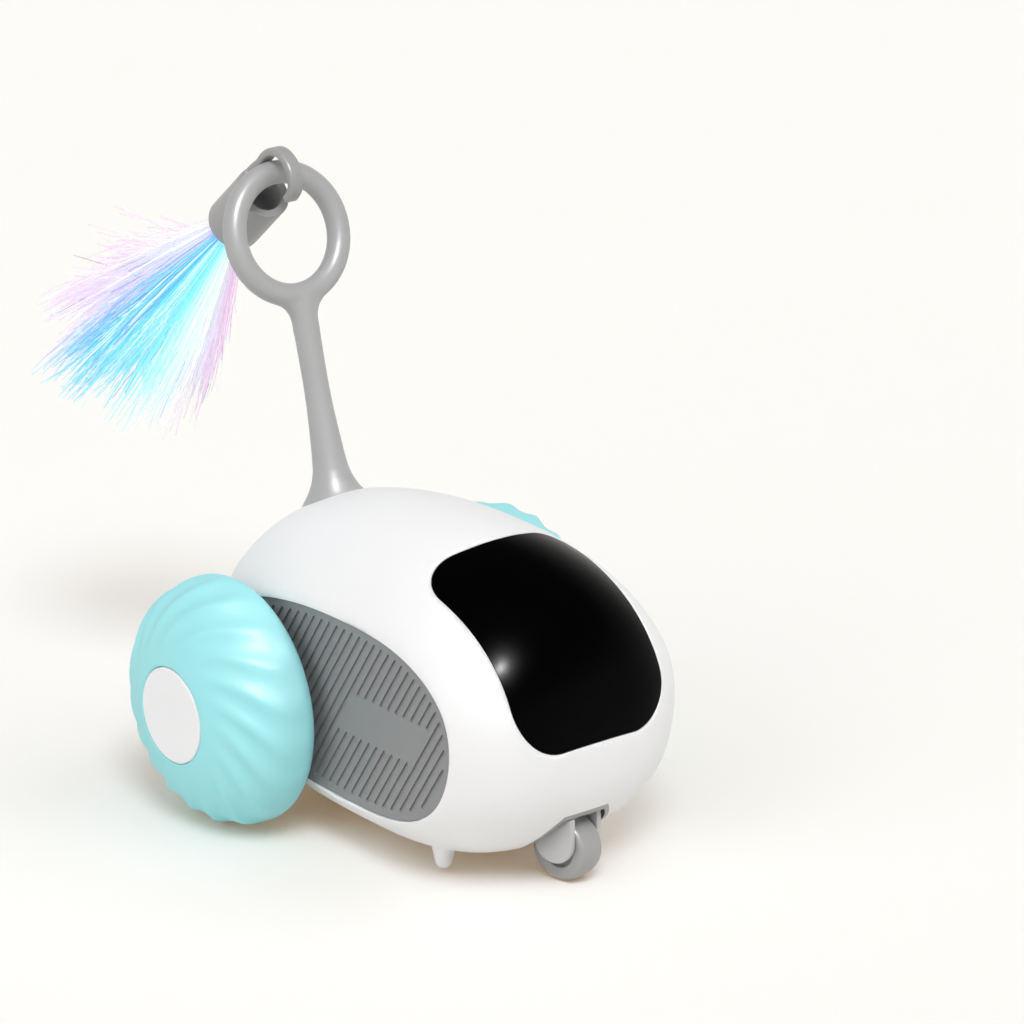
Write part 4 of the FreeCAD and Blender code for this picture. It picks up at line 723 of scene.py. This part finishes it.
def flute_tree():
    """Curved flutes pressed into a domed tyre, deepest between its rim and its middle."""
    name = "swirled flutes"
    if name in bpy.data.node_groups:
        return bpy.data.node_groups[name]
    tree, start, end = new_group(
        name,
        [("Geometry", "NodeSocketGeometry", None), ("Flutes", "NodeSocketInt", 18),
         ("Depth", "NodeSocketFloat", 0.001), ("Swirl", "NodeSocketFloat", 0.8),
         ("Radius", "NodeSocketFloat", 0.029), ("Middle", "NodeSocketVector", None),
         ("Material", "NodeSocketMaterial", None)],
        [("Geometry", "NodeSocketGeometry")], "GeometryNodeTree")
    make = NodeMaker(tree)
    given = start.outputs
    place = make.put("GeometryNodeInputPosition").outputs[0]
    _, along, up = make.split(make.vector("SUBTRACT", place, given["Middle"]))
    turn = make.math("ARCTAN2", up, along)
    radius = make.math("POWER", make.plus(make.times(along, along), make.times(up, up)), 0.5)
    outward = make.math("DIVIDE", radius, given["Radius"])
    bend = make.times(make.times(outward, outward), given["Swirl"])
    phase = make.times(make.math("SUBTRACT", turn, bend), given["Flutes"])
    skewed = make.plus(phase, make.times(make.math("SINE", phase), FLUTE_SKEW))
    wave = make.math("MULTIPLY_ADD", make.math("COSINE", skewed), FLUTE_WAVE, FLUTE_LEVEL)
    share = make.put("GeometryNodeInputNamedAttribute", data_type="FLOAT")
    share.inputs["Name"].default_value = "flute_share"
    depth = make.times(make.times(wave, share.outputs["Attribute"]), given["Depth"])
    normal = make.put("GeometryNodeInputNormal").outputs[0]
    move = make.put("GeometryNodeSetPosition")
    make.link(given["Geometry"], move.inputs["Geometry"])
    make.link(make.scaled(normal, make.times(depth, -1.0)), move.inputs["Offset"])
    make.finish(move.outputs["Geometry"], given["Material"], end)
    return tree


class ToyCarTyres(bpy.types.Operator):
    """Both domed tyres with their swirled flutes"""
    bl_idname = "toycar.tyres"
    bl_label = "Tyres"

    def execute(self, context):
        settings = context.scene.toycar_tyres
        for side in SIDES:
            piece = tyre_blank(side)
            add_nodes(piece, flute_tree(), {
                "Flutes": settings.flutes, "Depth": settings.depth, "Swirl": settings.swirl,
                "Radius": AXLE.z, "Middle": AXLE, "Material": finish("cyan soft tyre")})
            bake_modifiers(piece)
            piece.data.shade_smooth()
            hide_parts(side + "_tyre")
            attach(piece, side + "_wheel")
        return {"FINISHED"}


# Tail

STEM_LEAN_FOOT = Vector((0.0, 10.9 * MM, 65.5 * MM))
RING_FOOT = Vector((0.0, 23.7 * MM, 112.2 * MM))
STEM_PROFILE = (
    (9.4, -5.5), (8.6, -1.2), (7.6, 0.4), (6.1, 2.4), (4.9, 4.8), (4.2, 7.4), (3.85, 10.5), (3.45, 16.0),
    (3.1, 22.0), (2.95, 28.0), (3.0, 36.0), (3.1, 43.0), (3.15, 48.0))
TAIL_SKIN = 0.42 * MM


def stem_place():
    """The placement whose local Z runs up the stem from the shell's skin."""
    foot = STEM_LEAN_FOOT + Vector((0.0, AXLE.y, 0.0))
    top = RING_FOOT + Vector((0.0, AXLE.y, 0.0))
    return axis_place(foot, top - foot)


def ring_mesh(settings, middle):
    """The tail's ring as a torus that leans back."""
    around, across = 96, 24
    place = Matrix.Translation(middle) @ Matrix.Rotation(math.radians(90.0) - settings.ring_lean, 4, "X")
    points, faces = [], []
    for index in range(around):
        turn = 2.0 * math.pi * index / around
        for step in range(across):
            tilt = 2.0 * math.pi * step / across
            reach = settings.ring_radius + settings.ring_tube * math.cos(tilt)
            height = settings.ring_tube * math.sin(tilt)
            points.append(place @ Vector((reach * math.cos(turn), reach * math.sin(turn), height)))
    for index in range(around):
        here = index * across
        after = (index + 1) % around * across
        for step in range(across):
            up = (step + 1) % across
            faces.append((here + step, after + step, after + up, here + up))
    return mesh_from("ring", points, faces)


class ToyCarTail(bpy.types.Operator):
    """Soft tail: the stem and its ring in one piece"""
    bl_idname = "toycar.tail"
    bl_label = "Tail"

    def execute(self, context):
        settings = context.scene.toycar_tail
        lean = settings.ring_lean
        up = Vector((0.0, math.sin(lean), math.cos(lean)))
        foot = RING_FOOT + Vector((0.0, AXLE.y, 0.0))
        middle = foot + up * settings.ring_radius
        place = stem_place()
        stem = [(radius * MM, height * MM) for radius, height in STEM_PROFILE]
        stem = [(0.0, stem[0][1])] + stem + [(0.0, stem[-1][1])]
        shaft = lathe("shaft", stem, 64, place, closed=False)
        ring = ring_mesh(settings, middle)
        yoke = node_copy("yoke", "tail_ring")
        tail = join("soft_tail", [shaft, ring, yoke])
        soften(tail, TAIL_SKIN, 10)
        paint(tail, finish("grey silicone"))
        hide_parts("tail_stem", "tail_ring")
        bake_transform(tail)
        return {"FINISHED"}


# Teaser

class ToyCarHook(bpy.types.Operator):
    """The cup and hook of the teaser, with moulded corners"""
    bl_idname = "toycar.hook"
    bl_label = "Hook and cup"

    def execute(self, context):
        piece = node_copy("hook_cup", "teaser_hook")
        soften(piece, 0.24 * MM, 4)
        paint(piece, finish("grey moulding"))
        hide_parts("teaser_hook")
        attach(piece, "teaser")
        return {"FINISHED"}


CUP_DROP = math.radians(41.3)
ROOT_INSET = 1.6 * MM
ROOT_SINK = 2.2 * MM


def tassel_root():
    """The tassel's root, inside the cup's mouth."""
    low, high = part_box("tassel_ferrule")
    along = Vector((0.0, math.cos(CUP_DROP), -math.sin(CUP_DROP)))
    mouth = Vector((0.0, high[1] - ROOT_INSET * math.sin(CUP_DROP), low[2] + ROOT_INSET * math.cos(CUP_DROP)))
    return mouth - along * ROOT_SINK


STRAND_POINTS = 11
FAN_MIDDLE = math.radians(192.0)
FAN_BUNCHING = 1.55
TILT_BUNCHING = 0.34
UPPER_NARROWING = -0.27
NEAR_NARROWING = -0.25
LOCK_CLOSING = (1.6, -0.66)
STRAY = 9.0
LOWER_SHORTENING = (-0.28, 1.12)
HUE_START = math.radians(8.0)
HUE_SPAN = math.radians(85.0)
TWIG_SHORTENING = -0.66
TWIG_SPREAD = 0.22
TWIG_RISE = (1.2, 0.95)
TWIG_TONE = (0.45, 0.55)
CURL = 2.2
LOCK_SWAY = 0.035
STRAND_SWAY = 0.012
RIPPLE = 0.00032


def strand_lines(make, given):
    """One straight line for each strand and side tip, with its number."""
    cloud = make.put("GeometryNodePoints")
    make.link(make.times(given["Strands"], make.plus(given["Branches"], 1.0)), cloud.inputs["Count"])
    line = make.put("GeometryNodeCurvePrimitiveLine")
    line.inputs["End"].default_value = (0.0, 0.0, 1.0)
    fine = make.put("GeometryNodeResampleCurve")
    fine.inputs["Count"].default_value = STRAND_POINTS
    make.link(line.outputs["Curve"], fine.inputs["Curve"])
    number = make.put("GeometryNodeInputIndex").outputs[0]
    spawn = make.put("GeometryNodeInstanceOnPoints")
    make.link(make.keep(cloud.outputs[0], "strand", number), spawn.inputs["Points"])
    make.link(fine.outputs["Curve"], spawn.inputs["Instance"])
    real = make.put("GeometryNodeRealizeInstances")
    make.link(spawn.outputs["Instances"], real.inputs["Geometry"])
    return real.outputs["Geometry"]


def strand_aim(make, given, walk, parent, lock):
    """A strand's direction, and the part of it across the tassel's middle."""
    swing = make.random(-1.0, 1.0, 1, lock)
    far = make.times(make.math("SIGN", swing), make.math("POWER", make.math("ABSOLUTE", swing), FAN_BUNCHING))
    turn = make.math("MULTIPLY_ADD", far, math.pi, FAN_MIDDLE)
    above = make.math("MAXIMUM", make.math("SINE", turn), 0.0)
    near = make.math("MAXIMUM", make.math("COSINE", turn), 0.0)
    narrow = make.times(make.math("MULTIPLY_ADD", above, UPPER_NARROWING, 1.0), given["Spread"])
    tilt = make.math("POWER", make.random(0.0, 1.0, 2, lock), TILT_BUNCHING)
    tilt = make.times(make.times(tilt, make.math("MULTIPLY_ADD", near, NEAR_NARROWING, 1.0)), narrow)
    closing = make.math("MULTIPLY_ADD", make.math("POWER", walk, LOCK_CLOSING[0]), LOCK_CLOSING[1], 1.0)
    stray = make.math("POWER", make.random(0.0, 1.0, 14, parent), STRAY)
    loose = make.times(given["Lock Width"], make.plus(closing, stray))
    side = make.times(make.math("SINE", tilt), make.math("COSINE", turn))
    side = make.plus(side, make.times(make.random(-1.0, 1.0, 15, parent), loose))
    rise = make.times(make.math("SINE", tilt), make.math("SINE", turn))
    rise = make.plus(rise, make.times(make.random(-1.0, 1.0, 16, parent), loose))
    across = make.added(make.scaled(given["Side"], side), make.scaled(given["Lift"], rise))
    return make.added(make.scaled(given["Along"], make.math("COSINE", tilt)), across), across


def strand_hue(make, given, aim):
    """A strand's place in the fan of colours, and how far it belongs to the upper edge."""
    left = make.vector("DOT_PRODUCT", aim, given["Hue From"])
    down = make.vector("DOT_PRODUCT", aim, given["Hue To"])
    turn = make.math("SUBTRACT", make.math("ARCTAN2", down, left), HUE_START)
    hue = make.math("DIVIDE", turn, HUE_SPAN)
    upper = make.math("MAXIMUM", make.math("MULTIPLY_ADD", hue, -4.0, 1.35), 0.0)
    return hue, make.math("MINIMUM", upper, 1.0)


def strand_tubes(make, given, curves, walk, is_branch):
    """Thin tapered tubes round the curves."""
    taper = make.math("MULTIPLY_ADD", make.math("POWER", walk, 3.0), -0.62, 1.0)
    taper = make.times(taper, make.math("MULTIPLY_ADD", is_branch, -0.35, 1.0))
    thick = make.put("GeometryNodeSetCurveRadius")
    make.link(curves, thick.inputs["Curve"])
    make.link(make.times(given["Strand Radius"], taper), thick.inputs["Radius"])
    ring = make.put("GeometryNodeCurvePrimitiveCircle")
    ring.inputs["Resolution"].default_value = 3
    ring.inputs["Radius"].default_value = 1.0
    tube = make.put("GeometryNodeCurveToMesh")
    make.link(thick.outputs["Curve"], tube.inputs["Curve"])
    make.link(ring.outputs["Curve"], tube.inputs["Profile Curve"])
    make.link(make.put("GeometryNodeInputRadius").outputs[0], tube.inputs["Scale"])
    tube.inputs["Fill Caps"].default_value = True
    return tube.outputs["Mesh"]


def strand_tree():
    """Loose strands in locks that spread from one root, with short side tips that fork off them."""
    inputs = [("Geometry", "NodeSocketGeometry", None), ("Strands", "NodeSocketInt", 950),
              ("Branches", "NodeSocketInt", 2), ("Material", "NodeSocketMaterial", None)]
    for label, default in (("Lock", 10.0), ("Lock Width", 0.085), ("Length", 0.06), ("Spread", 0.5),
                           ("Strand Radius", 0.0002), ("Root Radius", 0.003)):
        inputs.append((label, "NodeSocketFloat", default))
    for label in ("Root", "Along", "Lift", "Side", "Hue From", "Hue To"):
        inputs.append((label, "NodeSocketVector", None))
    tree, start, end = new_group(
        "tassel strands", inputs, [("Geometry", "NodeSocketGeometry")], "GeometryNodeTree")
    make = NodeMaker(tree)
    given = start.outputs
    lines = strand_lines(make, given)
    read = make.put("GeometryNodeInputNamedAttribute", data_type="FLOAT")
    read.inputs["Name"].default_value = "strand"
    strand = read.outputs["Attribute"]
    parent = make.math("FLOORED_MODULO", strand, given["Strands"])
    lock = make.math("FLOOR", make.math("DIVIDE", parent, given["Lock"]))
    is_branch = make.math("GREATER_THAN", make.plus(strand, 0.5), given["Strands"])

    share = make.put("GeometryNodeSplineParameter").outputs["Factor"]
    birth = make.times(make.random(0.25, 0.8, 11, strand), is_branch)
    whole = make.math("SUBTRACT", 1.0, birth)
    span = make.math("MULTIPLY_ADD", make.times(whole, TWIG_SHORTENING), is_branch, whole)
    walk = make.plus(birth, make.times(span, share))
    aim, across = strand_aim(make, given, walk, parent, lock)
    hue, upper = strand_hue(make, given, aim)
    length = make.times(make.random(0.80, 1.0, 3, lock), make.random(0.82, 1.0, 17, parent))
    length = make.times(length, make.math("MULTIPLY_ADD", hue, *LOWER_SHORTENING))
    length = make.times(given["Length"], length)

    curl = make.times(make.math("POWER", walk, CURL), length)
    sway = make.scaled(make.shake((4, 5, 6), lock, 0.6), make.times(curl, LOCK_SWAY))
    own = make.scaled(make.shake((18, 19, 20), strand), make.times(curl, STRAND_SWAY))
    past = make.times(make.times(make.math("SUBTRACT", walk, birth), is_branch), length)
    reach = make.math("POWER", make.random(0.0, 1.0, 21, strand), TWIG_RISE[0])
    reach = make.times(reach, make.times(upper, TWIG_RISE[1]))
    fork = make.scaled(make.shake((7, 8, 9), strand), TWIG_SPREAD)
    fork = make.scaled(make.added(fork, make.scaled(given["Lift"], reach)), past)
    turn = make.plus(make.times(walk, make.random(7.0, 17.0, 12, strand)), make.times(strand, 2.4))
    waves = (make.math("SINE", turn), make.math("COSINE", turn), make.math("SINE", make.times(turn, 1.3)))
    ripple = make.scaled(make.combine(*waves), make.times(make.times(walk, walk), RIPPLE))
    bunch = make.scaled(across, make.math("DIVIDE", given["Root Radius"], make.math("SINE", given["Spread"])))
    step = make.scaled(aim, make.times(length, walk))
    move = make.put("GeometryNodeSetPosition")
    make.link(lines, move.inputs["Geometry"])
    make.link(make.added(given["Root"], bunch, step, sway, own, fork, ripple), move.inputs["Position"])

    twig = make.times(make.math("MULTIPLY_ADD", share, *TWIG_TONE), is_branch)
    curves = make.keep(move.outputs["Geometry"], "fan", make.plus(hue, make.random(-0.03, 0.03, 10, strand)))
    curves = make.keep(curves, "outward", make.math("MAXIMUM", walk, twig))
    # A random pick per strand: the highest picks become painted highlight streaks, the lowest dark strands.
    curves = make.keep(curves, "glint", make.random(0.0, 1.0, 13, strand))
    make.finish(strand_tubes(make, given, curves, walk, is_branch), given["Material"], end)
    return tree


FAN_COLOURS = (
    (0.00, (0.86, 0.68, 0.80)), (0.06, (0.74, 0.75, 0.79)), (0.18, (0.80, 0.79, 0.82)),
    (0.22, (0.72, 0.74, 0.96)), (0.28, (0.64, 0.64, 0.96)), (0.31, (0.48, 0.52, 0.94)),
    (0.335, (0.22, 0.68, 1.00)), (0.42, (0.18, 0.62, 1.00)), (0.50, (0.26, 0.78, 1.00)),
    (0.58, (0.44, 0.92, 1.00)), (0.64, (0.76, 0.99, 0.98)), (0.71, (0.84, 0.98, 0.97)),
    (0.76, (0.70, 0.60, 0.70)), (0.82, (0.88, 0.62, 0.82)), (1.00, (0.86, 0.62, 0.82)),
)
TIP_COLOURS = (
    (0.00, (0.88, 0.56, 0.80)), (0.27, (0.86, 0.56, 0.82)), (0.34, (0.26, 0.62, 0.98)),
    (0.50, (0.32, 0.78, 1.00)), (0.62, (0.50, 0.92, 0.98)), (0.72, (0.84, 0.60, 0.80)),
    (1.00, (0.86, 0.55, 0.80)),
)
# Near white for strands with high glint picks: painted highlight streaks.
PAINTED_HIGHLIGHT_STRAND = (0.93, 0.97, 1.0)
DARK_STRAND = (0.34, 0.30, 0.42)
# Strength of the painted light: every strand glows with its own colour to look brighter than its lighting
# makes it.
STRAND_PAINTED_GLOW = 0.38


def colour_ramp(tree, stops, factor):
    """A colour ramp node with the given (place, colour) stops."""
    ramp = tree.nodes.new("ShaderNodeValToRGB")
    marks = ramp.color_ramp.elements
    while len(marks) > 1:
        marks.remove(marks[-1])
    for index, (place, colour) in enumerate(stops):
        mark = marks[0] if index == 0 else marks.new(place)
        mark.position = place
        mark.color = (*colour, 1.0)
    tree.links.new(factor, ramp.inputs["Fac"])
    return ramp.outputs["Color"]


def colour_mix(tree, factor, first, second):
    """A colour mix node; the second colour may be a plain one."""
    node = tree.nodes.new("ShaderNodeMix")
    node.data_type = "RGBA"
    tree.links.new(factor, node.inputs["Factor"])
    tree.links.new(first, node.inputs[6])
    if isinstance(second, tuple):
        node.inputs[7].default_value = (*second, 1.0)
    else:
        tree.links.new(second, node.inputs[7])
    return node.outputs[2]


def strand_material():
    """Iridescent film: the hue runs across the fan, and some strands are pale or dark; the pale strands are
    painted highlight streaks, and all strands glow with their colour as painted light.
    """
    material = bpy.data.materials.new("iridescent strands")
    material.use_nodes = True
    tree = material.node_tree
    shader = tree.nodes["Principled BSDF"]
    readers = {}
    for label in ("fan", "outward", "glint"):
        reader = tree.nodes.new("ShaderNodeAttribute")
        reader.attribute_name = label
        readers[label] = reader.outputs["Fac"]
    hue = colour_ramp(tree, FAN_COLOURS, readers["fan"])
    tips = colour_ramp(tree, TIP_COLOURS, readers["fan"])
    amount = tree.nodes.new("ShaderNodeMath")
    amount.operation = "MULTIPLY"
    tree.links.new(map_range(tree, readers["outward"], 0.5, 1.0, 0.0, 0.95), amount.inputs[0])
    tree.links.new(map_range(tree, readers["glint"], 0.1, 0.5, 0.3, 1.0), amount.inputs[1])
    colour = colour_mix(tree, amount.outputs[0], hue, tips)
    # Strands with high glint picks turn near white: painted highlight streaks.
    colour = colour_mix(tree, map_range(tree, readers["glint"], 0.62, 0.95, 0.0, 0.85), colour, PAINTED_HIGHLIGHT_STRAND)
    colour = colour_mix(tree, map_range(tree, readers["glint"], 0.07, 0.0, 0.0, 0.9), colour, DARK_STRAND)
    tree.links.new(colour, shader.inputs["Base Color"])
    # The strands glow with their own colour: painted light.
    tree.links.new(colour, shader.inputs["Emission Color"])
    shader.inputs["Emission Strength"].default_value = STRAND_PAINTED_GLOW
    shader.inputs["Roughness"].default_value = 0.35
    return material


HUE_FROM = Vector((-0.783, 0.622, 0.0))
HUE_TO = Vector((-0.212, -0.267, -0.940))


class ToyCarTassel(bpy.types.Operator):
    """The tassel's loose iridescent strands"""
    bl_idname = "toycar.tassel"
    bl_label = "Tassel"

    def execute(self, context):
        settings = context.scene.toycar_tassel
        middle = Vector((-math.sin(settings.drift) * math.cos(settings.fall),
                         math.cos(settings.drift) * math.cos(settings.fall), -math.sin(settings.fall)))
        side = middle.cross(Vector((0.0, 0.0, 1.0))).normalized()
        piece = link_mesh("tassel_strands", bpy.data.meshes.new("tassel_strands"))
        add_nodes(piece, strand_tree(), {
            "Strands": settings.strands, "Branches": settings.branches, "Lock": float(settings.lock),
            "Lock Width": settings.lock_width, "Length": settings.length, "Spread": settings.spread,
            "Strand Radius": settings.strand_radius, "Root Radius": settings.root_radius,
            "Root": tassel_root(), "Along": middle, "Lift": side.cross(middle), "Side": side,
            "Hue From": HUE_FROM, "Hue To": HUE_TO, "Material": strand_material()})
        bake_modifiers(piece)
        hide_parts("tassel_fibres")
        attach(piece, "teaser")
        return {"FINISHED"}


# Shell and caster

SOFT_COPIES = (
    ("shell", "body_shell", "chassis", "white_shell", "white satin shell", None),
    ("caster_bracket", "caster_fork", "caster_yoke", "light_grey_plastic", "light grey moulding", 0.2),
    ("caster_tyre", "caster_wheel", "caster_roller", "grey_plastic", "grey moulding", 0.2),
)


class ToyCarMouldings(bpy.types.Operator):
    """The shell with even shading, and the caster with moulded corners"""
    bl_idname = "toycar.mouldings"
    bl_label = "Shell and caster"

    def execute(self, context):
        for name, node, body, slot, material, voxel in SOFT_COPIES:
            piece = node_copy(name, node)
            if voxel:
                soften(piece, voxel * MM, 6)
            else:
                piece.data.shade_smooth()
                piece.data.set_sharp_from_angle(angle=math.radians(30.0))
            paint(piece, finish(material))
            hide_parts(node)
            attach(piece, body)
        return {"FINISHED"}


# Construction pieces that keep their own shape

NODE_FINISHES = {
    "base_cover": "white satin shell", "visor": "black gloss window", "caster_liner": "grey moulding",
    "swivel_clip": "bright steel", "caster_axle": "bright steel", "battery": "blue cell wrap",
    "circuit_board": "green board", "power_board": "green board", "receiver_board": "green board",
    "receiver_eye": "dark moulding", "power_button": "grey moulding", "button_switch": "dark moulding",
    "charge_port": "bright steel", "cover_screws": "bright steel", "gearbox_screws": "bright steel",
    "board_screws": "bright steel", "tail_retainer": "light grey moulding", "tassel_ferrule": "bright steel",
}
PAIRED_FINISHES = {
    "side_panel": "grey side plate", "wheel_hub": "white satin shell", "hub_cap": "white hub disc",
    "wheel_axle": "bright steel", "axle_bush": "plain brass", "output_gear": "ivory gear plastic",
    "compound_gear": "ivory gear plastic", "compound_pin": "bright steel", "motor_pinion": "plain brass",
    "motor_shaft": "bright steel", "motor": "bright steel", "gearbox_case": "dark moulding",
}


class ToyCarConstruction(bpy.types.Operator):
    """Finishes of the visor, the plates, the hubs and everything inside"""
    bl_idname = "toycar.construction"
    bl_label = "Construction pieces"

    def execute(self, context):
        finishes = dict(NODE_FINISHES)
        for part, material in PAIRED_FINISHES.items():
            for side in SIDES:
                finishes[side + "_" + part] = material
        for node, material in finishes.items():
            paint(frame["nodes"][node], finish(material))
        return {"FINISHED"}


# Panel and registration

class ToyCarPanel(bpy.types.Panel):
    """Lists the pieces and their sizes"""
    bl_idname = "VIEW3D_PT_toycar"
    bl_label = "Cat Toy Car"
    bl_space_type = "VIEW_3D"
    bl_region_type = "UI"
    bl_category = "Cat Toy Car"

    def draw(self, context):
        for operator, settings in STEPS:
            box = self.layout.box()
            box.operator(operator.bl_idname)
            if settings:
                group = getattr(context.scene, settings)
                for label in group.__annotations__:
                    box.prop(group, label)


STEPS = (
    (ToyCarConstruction, None),
    (ToyCarMouldings, None),
    (ToyCarTyres, "toycar_tyres"),
    (ToyCarTail, "toycar_tail"),
    (ToyCarHook, None),
    (ToyCarTassel, "toycar_tassel"),
    (ToyCarStage, "toycar_stage"),
)
SETTINGS = {
    "toycar_stage": ToyCarStageSettings,
    "toycar_tyres": ToyCarTyreSettings,
    "toycar_tail": ToyCarTailSettings,
    "toycar_tassel": ToyCarTasselSettings,
}


def register():
    for name, group in SETTINGS.items():
        bpy.utils.register_class(group)
        setattr(bpy.types.Scene, name, bpy.props.PointerProperty(type=group))
    for operator, _ in STEPS:
        bpy.utils.register_class(operator)
    bpy.utils.register_class(ToyCarPanel)


def unregister():
    bpy.utils.unregister_class(ToyCarPanel)
    for operator, _ in reversed(STEPS):
        bpy.utils.unregister_class(operator)
    for name, group in SETTINGS.items():
        delattr(bpy.types.Scene, name)
        bpy.utils.unregister_class(group)


def main():
    register()
    for operator, _ in STEPS:
        group, name = operator.bl_idname.split(".")
        getattr(getattr(bpy.ops, group), name)()


if __name__ == "__main__":
    main()
